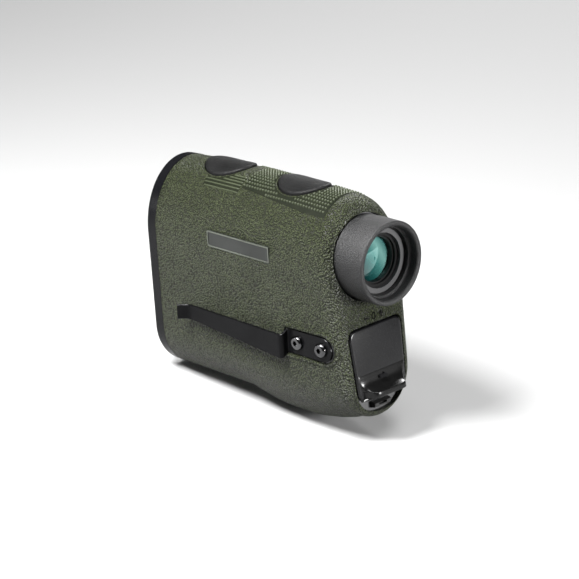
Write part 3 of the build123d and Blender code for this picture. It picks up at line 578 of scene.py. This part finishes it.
def makeButton(name, centreY, look):
    points = []
    rings, around = 26, 120
    shoulder = look["shoulderShare"]
    top = rings - look["shoulderRings"]  # rings on the flat field, before the shoulder
    for k in range(rings + 1):
        spread = k / rings
        if k <= top:
            share = spread / (top / rings) * shoulder
            lift = look["proud"] - look["dish"] * (1 if share < look["rimShare"] else 0)
            if look["rimShare"] - look["rimBlend"] < share < look["rimShare"] + look["rimBlend"]:
                lift = look["proud"] - look["dish"] * 0.5
        else:
            turn = (k - top) / look["shoulderRings"] * pi / 2
            share = shoulder + (1 - shoulder) * sin(turn)
            lift = look["proud"] - look["shoulderDrop"] * (1 - cos(turn))
        for j in range(around):
            angle = 2 * pi * j / around
            x, y = look["wide"] * share * cos(angle), centreY + look["long"] * share * sin(angle)
            points.append(crownPoint(x, y) + Vector((0, 0, lift)))
    for j in range(around):
        angle = 2 * pi * j / around
        x, y = look["wide"] * cos(angle), centreY + look["long"] * sin(angle)
        points.append(crownPoint(x, y) + Vector((0, 0, -look["deep"])))
    faces = rowFaces(rings + 2, around)
    faces.append(tuple((rings + 1) * around + j for j in reversed(range(around))))
    return meshObject(name, points, faces, 40)


for name, centreY, body, node in (
        ("measureCap", armourLook["measureY"], "measure_key", "measure_button"),
        ("menuCap", armourLook["menuY"], "menu_key", "menu_button")):
    cap = makeButton(name, centreY, buttonLook)
    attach(cap, body)
    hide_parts(node)
print("buttons made")


# rubber eyecup, turned

cupLook = {"baseY": -23.9, "stepY": -28.2, "base": 13.5, "rimY": -37.4, "outer": 13.7, "bore": 11.8,
           "shoulderY": -34.2, "shoulderBore": 10.9, "ringRear": -33.0, "ringRadius": 12.0,
           "outerRound": 0.62, "innerRound": 1.0}


def makeEyecup(look):
    rimY, turns = look["rimY"], [radians(t) for t in range(0, 91, 15)]
    soft, wide = look["outerRound"], look["innerRound"]
    profile = [(look["baseY"], look["ringRadius"]), (look["baseY"], look["base"]),
               (look["stepY"], look["base"]), (look["stepY"] - 0.2, look["outer"])]
    profile += [(rimY + soft * (1 - sin(t)), look["outer"] - soft * (1 - cos(t))) for t in turns]
    profile += [(rimY + wide * (1 - cos(t)), look["bore"] + wide * (1 - sin(t))) for t in turns]
    stepY, throat = look["shoulderY"], look["shoulderBore"]
    profile += [(stepY - 0.25, look["bore"] - 0.02), (stepY, look["bore"] - 0.25), (stepY, throat + 0.2),
                (stepY + 0.2, throat), (look["ringRear"], throat), (look["ringRear"], look["ringRadius"])]
    return lathe("eyecupRubber", profile, opticalZ, 192, 40)


eyecup = makeEyecup(cupLook)
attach(eyecup, "dioptre")
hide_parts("eyecup")
print("eyecup made")


# spring clip: one bent strip, bent across the joint at its fold

clipLook = {"plateX": -16.3, "armX": -19.3, "contactX": -18.4, "thick": 0.9, "rearY": -25.6, "foldY": -5.45,
            "contactY": 39.3, "tip": (-21.2, 42.3), "z": 29.7, "rootHalf": 4.1,
            "foldLow": -5.9, "foldHigh": 2.3, "endHalf": 2.5, "bevel": 0.16,
            "screwY": (-10.3, -21.1), "screwHole": 1.4}


def makeClip(look):
    corners = [(look["plateX"], look["rearY"] - 0.01), (look["plateX"], look["foldY"]),
               (look["armX"], look["foldY"]), (look["contactX"], look["contactY"]), look["tip"]]
    rough = roundedPath(corners, [0, 1.0, 1.0, 1.6, 0], 6, closed=False)
    path = []
    for i in range(len(rough) - 1):
        a, b = Vector(rough[i]), Vector(rough[i + 1])
        parts = max(1, int((b - a).length / 0.7))
        path += [a + (b - a) * s / parts for s in range(parts)]
    path.append(Vector(rough[-1]))
    points, bevel = [], look["bevel"]
    for i, p in enumerate(path):
        ahead = (path[min(i + 1, len(path) - 1)] - path[max(i - 1, 0)]).normalized()
        out = Vector((-ahead.y, ahead.x))
        low, high = -look["rootHalf"], look["rootHalf"]
        if p.y < look["rearY"] + look["rootHalf"] and p.x > look["plateX"] - 0.5:
            reach = look["rearY"] + look["rootHalf"] - p.y
            high = sqrt(max(0.15, look["rootHalf"] ** 2 - reach**2))
            low = -high
        across = min(1.0, max(0.0, (look["plateX"] - p.x) / (look["plateX"] - look["armX"])))
        if p.y < look["foldY"] + 1.5:
            low += (look["foldLow"] - low) * across
            high += (look["foldHigh"] - high) * across
        else:
            t = min(1.0, (p.y - look["foldY"]) / (look["contactY"] - look["foldY"]))
            low = look["foldLow"] + (-look["endHalf"] - look["foldLow"]) * t
            high = look["foldHigh"] + (look["endHalf"] - look["foldHigh"]) * t
        h = look["thick"] / 2
        for u, v in ((h, low + bevel), (h - bevel, low), (bevel - h, low), (-h, low + bevel),
                     (-h, high - bevel), (bevel - h, high), (h - bevel, high), (h, high - bevel)):
            q = p + out * u
            points.append((q.x, q.y, look["z"] + v))
    faces = rowFaces(len(path), 8)
    faces += [tuple(range(8)), tuple((len(path) - 1) * 8 + k for k in reversed(range(8)))]
    strip = meshObject("clipStrip", points, faces, 25)
    holes = []
    for y in look["screwY"]:
        ring = ovalOutline(look["screwHole"], look["screwHole"], 40)
        holes.append(prism("clipHole", ring, lambda u, v, h, y=y: (h, y + u, look["z"] + v), -18, -15))
    return cut(strip, holes, 25)


clipStrip = makeClip(clipLook)
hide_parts("clip_plate", "clip_arm")
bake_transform(clipStrip)
print("clip made")


# battery door: bevelled shield with a scooped finger lip

lipForm = {"halfOuter": 8.4, "halfInner": 10.1,
           # outward, drop: down the dished face, round the edge, back underneath
           "profile": ((-0.4, 14.4), (0.0, 15.0), (0.08, 16.2), (0.3, 17.6), (0.8, 18.8), (1.7, 19.7),
                       (2.8, 20.25), (3.7, 20.5), (4.1, 20.62), (4.25, 20.9), (4.25, 22.2), (4.1, 22.5),
                       (3.7, 22.65), (2.2, 23.1), (0.6, 23.4), (-0.4, 23.4)),
           # arrow moulded in the dish: across, drop
           "mark": ((-1.6, 16.6), (0.6, 16.6), (0.6, 16.1), (1.9, 17.1),
                    (0.6, 18.1), (0.6, 17.6), (-1.6, 17.6)),
           "markSlope": 0.42, "markOut": 0.35}


def makeDoor(look, lip):
    outline = shieldOutline(look["halfTop"], look["halfLow"], look["drop"], 3.2)
    panel = prism("doorPanel", outline, doorPlace, -look["thick"], 0.0)
    bevelled(panel, look["edgeRound"], 5, 30)
    points, columns = [], 61
    for out, drop in lip["profile"]:
        for i in range(columns):
            u = 2 * i / (columns - 1) - 1
            fade = (1 - abs(u) ** 9) if out > 0 else 1.0
            half = lip["halfInner"] + (lip["halfOuter"] - lip["halfInner"]) * max(0, out) / 4
            points.append(doorPlace(u * half, drop, out * fade))
    count = len(lip["profile"])
    faces = rowFaces(count, columns, closed=False)
    last = (count - 1) * columns
    faces.append(tuple(i * columns for i in range(count)))
    faces.append(tuple(i * columns + columns - 1 for i in reversed(range(count))))
    faces += [(last + i, last + i + 1, i + 1, i) for i in range(columns - 1)]
    scoop = meshObject("doorLip", points, faces, 50)
    start = min(drop for across, drop in lip["mark"])

    def onDish(u, v, h):
        return doorPlace(u, v, lip["markOut"] + (v - start) * lip["markSlope"] + h)

    mark = prism("doorMark", roundedPath(lip["mark"], 0.12, 2), onDish, -0.3, 0.28)
    pin, half = look["pinInset"], look["knuckleHalf"]
    barrel = [(pin - u, v - pin) for u, v in ovalOutline(look["knuckleRadius"], look["knuckleRadius"], 48)]
    knuckle = prism("doorKnuckle", barrel, lambda u, v, h: doorPlace(h, u, v), -half, half)
    return panel, scoop, mark, knuckle


for piece in makeDoor(doorForm, lipForm):
    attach(piece, "door")
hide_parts("battery_door")
print("door made")


# blank name plate with a raised border

badgeLook = {"y": (0.3, 29.3), "z": (54.3, 59.7), "border": 0.42}


def makeBadge(look):
    y0, y1 = look["y"]
    z0, z1 = look["z"]

    def sheet(name, grow, low, high):
        rear, front, under, over = y0 - grow, y1 + grow, z0 - grow, z1 + grow
        outline = roundedPath([(rear, under), (front, under), (front, over), (rear, over)], 0.5, 4)
        return prism(name, outline, lambda u, v, h: (sideX(u, v) + h, u, v), low, high)

    plate = sheet("badgePlate", 0.0, 0.95, 0.28)
    rim = sheet("badgeRim", 0.0, 0.3, 0.06)
    hollow = sheet("badgeHollow", -look["border"], 0.4, -1.0)
    cut(rim, [hollow], 25)
    return plate, rim


for piece in makeBadge(badgeLook):
    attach(piece, "housing")
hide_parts("side_badge")
print("badge made")


# dioptre marks, moulded into the armour under the eyecup; their near-black colour is painted shade

markLook = {"z": 38.1, "spread": 3.4, "size": 0.95, "bar": 0.2, "proud": 0.3, "zeroWide": 0.72,
            "zeroTall": 1.1, "zeroBar": 0.17}


def rearPlace(u, v, h):
    lean = radians(bodyForm["rearLean"])
    away = v - bodyForm["pivotZ"]
    return (u, bodyForm["rearY"] + away * tan(lean) - h, v)


def makeMarks(look):
    size, bar, z = look["size"], look["bar"], look["z"]
    minus = [(-look["spread"], size, bar)]  # centre, half width, half height
    plus = [(look["spread"], size, bar), (look["spread"], bar, size)]
    made = []
    for name, group in (("markMinus", minus), ("markPlus", plus)):
        for i, (centre, wide, tall) in enumerate(group):
            near, far = centre - wide, centre + wide
            outline = [(near, z - tall), (far, z - tall), (far, z + tall), (near, z + tall)]
            made.append(prism(name + str(i), outline, rearPlace, -0.2, look["proud"] - 0.02 * i))
    ring = ovalOutline(size * look["zeroWide"], size * look["zeroTall"], 40)
    path = [rearPlace(u, z + v, 0.05) for u, v in ring]
    made.append(tube("markZero", path, look["zeroBar"], True))
    return made


for mark in makeMarks(markLook):
    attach(mark, "housing")
print("dioptre marks made")


# materials: every finish is noise-driven colour, roughness and bump

def makeMaterial(name, look):
    material = bpy.data.materials.new(name)
    material.use_nodes = True
    tree = material.node_tree
    shader = tree.nodes["Principled BSDF"]
    place = tree.nodes.new("ShaderNodeTexCoord").outputs["Object"]

    def noise(scale, detail, rough=0.55):
        node = tree.nodes.new("ShaderNodeTexNoise")
        node.inputs["Scale"].default_value = scale
        node.inputs["Detail"].default_value = detail
        node.inputs["Roughness"].default_value = rough
        tree.links.new(place, node.inputs["Vector"])
        return node.outputs["Fac"]

    def ramp(source, low, high, first, last):
        node = tree.nodes.new("ShaderNodeValToRGB")
        start, end = node.color_ramp.elements
        start.position, end.position = low, high
        start.color, end.color = (*first, 1), (*last, 1)
        tree.links.new(source, node.inputs["Fac"])
        return node.outputs["Color"]

    def span(source, low, high, first, last):
        node = tree.nodes.new("ShaderNodeMapRange")
        for socket, value in zip(("From Min", "From Max", "To Min", "To Max"), (low, high, first, last)):
            node.inputs[socket].default_value = value
        tree.links.new(source, node.inputs["Value"])
        return node.outputs["Result"]

    blotch = noise(90.0, 3.0)
    colour = ramp(blotch, 0.32, 0.68, look["dark"], look["light"])
    height = None
    if "pebble" in look:  # moulded pebble grain
        cells = tree.nodes.new("ShaderNodeTexVoronoi")
        cells.feature = "SMOOTH_F1"
        cells.inputs["Scale"].default_value = look["pebble"]
        cells.inputs["Smoothness"].default_value = 0.25
        warped = tree.nodes.new("ShaderNodeMixRGB")
        warped.blend_type = "ADD"
        warped.inputs["Fac"].default_value = 1.0
        drift = tree.nodes.new("ShaderNodeTexNoise")
        drift.inputs["Scale"].default_value = look["pebble"] * 0.9
        tree.links.new(place, drift.inputs["Vector"])
        scaled = tree.nodes.new("ShaderNodeVectorMath")
        scaled.operation = "SCALE"
        scaled.inputs["Scale"].default_value = 0.9 / look["pebble"]
        tree.links.new(drift.outputs["Color"], scaled.inputs[0])
        tree.links.new(place, warped.inputs["Color1"])
        tree.links.new(scaled.outputs["Vector"], warped.inputs["Color2"])
        tree.links.new(warped.outputs["Color"], cells.inputs["Vector"])
        height = span(cells.outputs["Distance"], 0.05, 0.75, 1.0, 0.0)
        # painted shade and painted highlight: the base colour is multiplied darker in the grain's crevices
        # and lighter on its crests
        shade = tree.nodes.new("ShaderNodeMixRGB")
        shade.blend_type = "MULTIPLY"
        shade.inputs["Fac"].default_value = 1.0
        tree.links.new(colour, shade.inputs["Color1"])
        tree.links.new(span(height, 0.2, 0.75, look["paintedCreviceShade"], look["paintedCrestHighlight"]), shade.inputs["Color2"])
        colour = shade.outputs["Color"]
    tree.links.new(colour, shader.inputs["Base Color"])
    fine = noise(look.get("fineScale", 2500.0), 3.0, 0.6)
    tree.links.new(span(fine, 0.25, 0.75, *look["rough"]), shader.inputs["Roughness"])
    bump = tree.nodes.new("ShaderNodeBump")
    bump.inputs["Strength"].default_value = look["bump"]
    bump.inputs["Distance"].default_value = look.get("bumpDepth", 0.05) * mm
    tree.links.new(fine, bump.inputs["Height"])
    normal = bump.outputs["Normal"]
    if height is not None:
        grain = tree.nodes.new("ShaderNodeBump")
        grain.inputs["Strength"].default_value = look["pebbleStrength"]
        grain.inputs["Distance"].default_value = look["pebbleDepth"] * mm
        tree.links.new(height, grain.inputs["Height"])
        tree.links.new(normal, grain.inputs["Normal"])
        normal = grain.outputs["Normal"]
    tree.links.new(normal, shader.inputs["Normal"])
    shader.inputs["Metallic"].default_value = look.get("metal", 0.0)
    shader.inputs["Specular IOR Level"].default_value = look.get("specular", 0.5)
    shader.inputs["Coat Weight"].default_value = look.get("coat", 0.0)
    shader.inputs["Coat Roughness"].default_value = 0.1
    shader.inputs["Transmission Weight"].default_value = look.get("clear", 0.0)
    shader.inputs["IOR"].default_value = look.get("ior", 1.5)
    material.diffuse_color = (*look["light"], 1)
    return material


finishes = {
    # armour: the crevice and crest factors paint shade into the grain's hollows and highlight onto its tops
    "armour": {"dark": (0.024, 0.029, 0.013), "light": (0.030, 0.036, 0.017), "rough": (0.36, 0.52),
               "pebble": 1700.0, "pebbleDepth": 1.2, "pebbleStrength": 1.0, "paintedCreviceShade": 0.25, "paintedCrestHighlight": 1.5,
               "fineScale": 5200.0, "bump": 0.2, "specular": 0.22},
    "gripRubber": {"dark": (0.017, 0.021, 0.010), "light": (0.022, 0.027, 0.014), "rough": (0.34, 0.46),
                   "fineScale": 4200.0, "bump": 0.15, "specular": 0.25},
    # near-black bed colour: painted shade between the grip beads and ribs
    "gripBedPaintedShade": {"dark": (0.003, 0.004, 0.002), "light": (0.005, 0.006, 0.003), "rough": (0.55, 0.65),
                "fineScale": 4200.0, "bump": 0.15, "specular": 0.05},
    "bezel": {"dark": (0.0015, 0.0015, 0.002), "light": (0.003, 0.003, 0.0035), "rough": (0.22, 0.30),
              "fineScale": 3500.0, "bump": 0.08, "specular": 0.1},
    "button": {"dark": (0.003, 0.003, 0.003), "light": (0.006, 0.006, 0.006), "rough": (0.34, 0.5),
               "fineScale": 2300.0, "bump": 0.9, "bumpDepth": 0.2, "specular": 0.08},
    "eyecup": {"dark": (0.0025, 0.0025, 0.0027), "light": (0.0045, 0.0045, 0.0047), "rough": (0.42, 0.54),
               "fineScale": 2000.0, "bump": 1.0, "bumpDepth": 0.35, "specular": 0.3},
    "door": {"dark": (0.002, 0.002, 0.0022), "light": (0.0035, 0.0035, 0.004), "rough": (0.20, 0.3),
             "fineScale": 5000.0, "bump": 0.12, "specular": 0.22},
    "doorLip": {"dark": (0.0015, 0.0015, 0.0015), "light": (0.0025, 0.0025, 0.0025), "rough": (0.2, 0.28),
                "fineScale": 5000.0, "bump": 0.08, "specular": 0.2},
    # near-black mark colour: painted shade of the moulded dioptre marks
    "mark": {"dark": (0.002, 0.002, 0.002), "light": (0.003, 0.003, 0.003), "rough": (0.5, 0.6),
             "bump": 0.1, "specular": 0.04},
    "catch": {"dark": (0.006, 0.006, 0.006), "light": (0.010, 0.010, 0.010), "rough": (0.3, 0.42),
              "bump": 0.15, "specular": 0.3},
    "clip": {"dark": (0.0015, 0.0015, 0.0017), "light": (0.003, 0.003, 0.0033), "rough": (0.18, 0.26),
             "fineScale": 6000.0, "bump": 0.05, "specular": 0.05},
    "screw": {"dark": (0.05, 0.05, 0.052), "light": (0.08, 0.08, 0.082), "rough": (0.14, 0.22),
              "metal": 1.0, "bump": 0.05},
    "badge": {"dark": (0.008, 0.009, 0.008), "light": (0.014, 0.015, 0.014), "rough": (0.34, 0.46),
              "fineScale": 5200.0, "bump": 0.12, "specular": 0.25},
    "badgeRim": {"dark": (0.03, 0.034, 0.026), "light": (0.045, 0.05, 0.04), "rough": (0.3, 0.42),
                 "fineScale": 5200.0, "bump": 0.1},
    "plastic": {"dark": (0.010, 0.010, 0.011), "light": (0.018, 0.018, 0.019), "rough": (0.45, 0.6),
                "bump": 0.2},
    "blackMetal": {"dark": (0.003, 0.003, 0.003), "light": (0.005, 0.005, 0.005), "rough": (0.3, 0.42),
                   "bump": 0.1, "specular": 0.12},
    "steel": {"dark": (0.42, 0.42, 0.44), "light": (0.58, 0.58, 0.6), "rough": (0.2, 0.34), "metal": 1.0,
              "bump": 0.08},
    "chassis": {"dark": (0.22, 0.22, 0.23), "light": (0.34, 0.34, 0.36), "rough": (0.4, 0.55),
                "metal": 0.9, "bump": 0.3},
    "copper": {"dark": (0.52, 0.30, 0.14), "light": (0.72, 0.46, 0.24), "rough": (0.22, 0.36),
               "metal": 1.0, "bump": 0.08},
    "brass": {"dark": (0.48, 0.36, 0.14), "light": (0.66, 0.52, 0.24), "rough": (0.25, 0.4), "metal": 1.0,
              "bump": 0.1},
    "board": {"dark": (0.008, 0.075, 0.028), "light": (0.016, 0.12, 0.045), "rough": (0.3, 0.42),
              "bump": 0.12, "coat": 0.3},
    "chip": {"dark": (0.012, 0.012, 0.012), "light": (0.024, 0.024, 0.024), "rough": (0.5, 0.62),
             "bump": 0.25},
    "ribbon": {"dark": (0.28, 0.13, 0.02), "light": (0.4, 0.2, 0.04), "rough": (0.28, 0.4), "bump": 0.1},
    "battery": {"dark": (0.035, 0.04, 0.055), "light": (0.06, 0.066, 0.085), "rough": (0.28, 0.4),
                "bump": 0.06, "coat": 0.2},
    "seal": {"dark": (0.010, 0.010, 0.010), "light": (0.018, 0.018, 0.018), "rough": (0.6, 0.75),
             "bump": 0.2},
    "glass": {"dark": (0.86, 0.92, 0.90), "light": (0.92, 0.97, 0.95), "rough": (0.0, 0.03), "bump": 0.0,
              "clear": 1.0, "ior": 1.52},
}

slotFinish = {"armor": "armour", "bezel": "bezel", "button": "button", "eyecup": "eyecup", "door": "door",
              "catch": "catch", "clip": "clip", "screw": "screw", "badge": "badge", "shell": "plastic",
              "steel": "steel", "seal": "seal", "face_plate": "plastic", "black_metal": "blackMetal",
              "coated_glass": "glass", "glass": "glass", "chassis": "chassis", "copper": "copper",
              "board": "board", "chip": "chip", "ribbon": "ribbon", "ring": "blackMetal",
              "battery": "battery", "brass": "brass"}

materials = {name: makeMaterial(name, look) for name, look in finishes.items()}


def makeCoatedGlass(name, look):  # lens whose base colour is graded across its face by position; on the eye lens the bright band is a painted reflection
    material = bpy.data.materials.new(name)
    material.use_nodes = True
    tree = material.node_tree
    shader = tree.nodes["Principled BSDF"]
    place = tree.nodes.new("ShaderNodeTexCoord").outputs["Object"]
    split = tree.nodes.new("ShaderNodeSeparateXYZ")
    tree.links.new(place, split.inputs[0])
    slant = tree.nodes.new("ShaderNodeMath")
    slant.operation = "MULTIPLY_ADD"
    slant.inputs[1].default_value = look["acrossPull"]
    tree.links.new(split.outputs["X"], slant.inputs[0])
    tree.links.new(split.outputs["Z"], slant.inputs[2])
    spread = tree.nodes.new("ShaderNodeMapRange")
    for socket, value in zip(("From Min", "From Max"), look["span"]):
        spread.inputs[socket].default_value = value
    tree.links.new(slant.outputs[0], spread.inputs["Value"])
    ramp = tree.nodes.new("ShaderNodeValToRGB")
    ramp.color_ramp.elements[0].color = (*look["colours"][0], 1)
    ramp.color_ramp.elements[1].color = (*look["colours"][-1], 1)
    for i, colour in enumerate(look["colours"][1:-1]):
        ramp.color_ramp.elements.new((i + 1) / (len(look["colours"]) - 1)).color = (*colour, 1)
    tree.links.new(spread.outputs["Result"], ramp.inputs["Fac"])
    tree.links.new(ramp.outputs["Color"], shader.inputs["Base Color"])
    shader.inputs["Roughness"].default_value = 0.06
    shader.inputs["Metallic"].default_value = look["metal"]
    shader.inputs["Coat Weight"].default_value = 1.0
    shader.inputs["Coat Roughness"].default_value = 0.02
    material.diffuse_color = (*look["colours"][1], 1)
    return material


# eye lens: the grading paints a reflection, bright teal across one side and dark teal elsewhere
eyeGlintLook = {"acrossPull": 1.6, "span": (0.0465, 0.0700), "metal": 0.5,
            "colours": ((0.004, 0.03, 0.03), (0.012, 0.08, 0.075), (0.05, 0.18, 0.165), (0.16, 0.34, 0.31),
                        (0.04, 0.14, 0.13))}
materials["eyePaintedGlint"] = makeCoatedGlass("eyePaintedGlint", eyeGlintLook)
frontCoat = {"acrossPull": 0.6, "span": (0.030, 0.075), "metal": 0.4,
             "colours": ((0.02, 0.03, 0.08), (0.05, 0.09, 0.12), (0.015, 0.03, 0.05), (0.01, 0.015, 0.02))}
materials["frontCoat"] = makeCoatedGlass("frontCoat", frontCoat)


def dress(thing, finish):
    thing.data.materials.clear()
    thing.data.materials.append(materials[finish])
    for face in thing.data.polygons:
        face.material_index = 0


for subpart in frame["record"]["subparts"]:
    dress(nodes[subpart["node"]], slotFinish[subpart["material_slot"]])
dress(nodes["eye_lens"], "eyePaintedGlint")
dress(nodes["objective_crown"], "frontCoat")
dress(nodes["emitter_lens"], "frontCoat")
madeFinish = {
    "armour": ("armourSleeve", "clipLip"), "gripRubber": ("gripBeads", "gripRibs"),
    "gripBedPaintedShade": ("beadBed", "ribBedLeft", "ribBedRight"), "button": ("measureCap", "menuCap"),
    "eyecup": ("eyecupRubber",), "clip": ("clipStrip",), "door": ("doorPanel", "doorMark", "doorKnuckle"),
    "doorLip": ("doorLip",), "badge": ("badgePlate",), "badgeRim": ("badgeRim",),
    "mark": ("markMinus0", "markPlus0", "markPlus1", "markZero"),
}
for finish, names in madeFinish.items():
    for name in names:
        dress(bpy.data.objects[name], finish)
print("materials set")


# floor and studio light

stageLook = {"size": 0.55, "pale": (0.30, 0.30, 0.30), "drop": 0.0001}


def lowestAlong(direction):
    graph = bpy.context.evaluated_depsgraph_get()
    lowest = 1.0
    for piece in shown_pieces():
        shown = piece.evaluated_get(graph)
        for corner in shown.data.vertices if piece.type == "MESH" else []:
            lowest = min(lowest, (shown.matrix_world @ corner.co).dot(direction))
    return lowest


def makeFloor(look, up):
    height = lowestAlong(up) - look["drop"]
    side = Vector((1, 0, 0))
    ahead = up.cross(side)
    centre = up * height
    corners = [centre + side * a * look["size"] + ahead * b * look["size"]
               for a, b in ((-1, -1), (1, -1), (1, 1), (-1, 1))]
    mesh = bpy.data.meshes.new("studioFloor")
    mesh.from_pydata(corners, [], [(0, 1, 2, 3)])
    floor = newObject("studioFloor", mesh)
    material = bpy.data.materials.new("paleFloor")
    material.use_nodes = True
    shader = material.node_tree.nodes["Principled BSDF"]
    shader.inputs["Base Color"].default_value = (*look["pale"], 1)
    shader.inputs["Roughness"].default_value = 0.9
    shader.inputs["Specular IOR Level"].default_value = 0.1
    mesh.materials.append(material)
    floor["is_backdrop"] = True


makeFloor(stageLook, worldUp)

lightLook = {
    # azimuth and elevation as seen from the object, distance, size, watts
    "key": (-98.0, 56.0, 0.34, 0.14, 6.4),
    "top": (0.0, 72.0, 1.0, 0.5, 10.5),
    "side": (-130.0, 8.0, 0.9, 0.26, 2.4),
    "rear": (18.0, 11.0, 0.9, 0.24, 18.0),
    "right": (120.0, 30.0, 0.9, 0.24, 4.5),
}


def makeLight(name, azimuth, elevation, distance, size, watts):
    a, e = radians(azimuth), radians(elevation)
    tilt = Matrix.Rotation(radians(cameraLook["noseDown"]), 3, "X")
    away = tilt @ Vector((sin(a) * cos(e), -cos(a) * cos(e), sin(e)))
    data = bpy.data.lights.new(name, "AREA")
    data.shape, data.size, data.energy = "DISK", size, watts
    lamp = newObject(name, data)
    lamp.location = Vector((0, 0.011, 0.039)) + away * distance
    lamp.rotation_mode = "QUATERNION"
    lamp.rotation_quaternion = away.to_track_quat("Z", "Y")


for name, values in lightLook.items():
    makeLight(name, *values)

world = bpy.data.worlds.new("studio")
scene.world = world
world.use_nodes = True
worldTree = world.node_tree
background = worldTree.nodes["Background"]
background.inputs["Color"].default_value = (1, 1, 1, 1)
seen = worldTree.nodes.new("ShaderNodeLightPath")
worldPower = worldTree.nodes.new("ShaderNodeMapRange")
worldPower.inputs["To Min"].default_value = 0.07  # soft fill on the object
worldPower.inputs["To Max"].default_value = 1.0  # plain white behind it
worldTree.links.new(seen.outputs["Is Camera Ray"], worldPower.inputs["Value"])
worldTree.links.new(worldPower.outputs["Result"], background.inputs["Strength"])
scene.view_settings.view_transform = "Standard"
print("stage and light set")
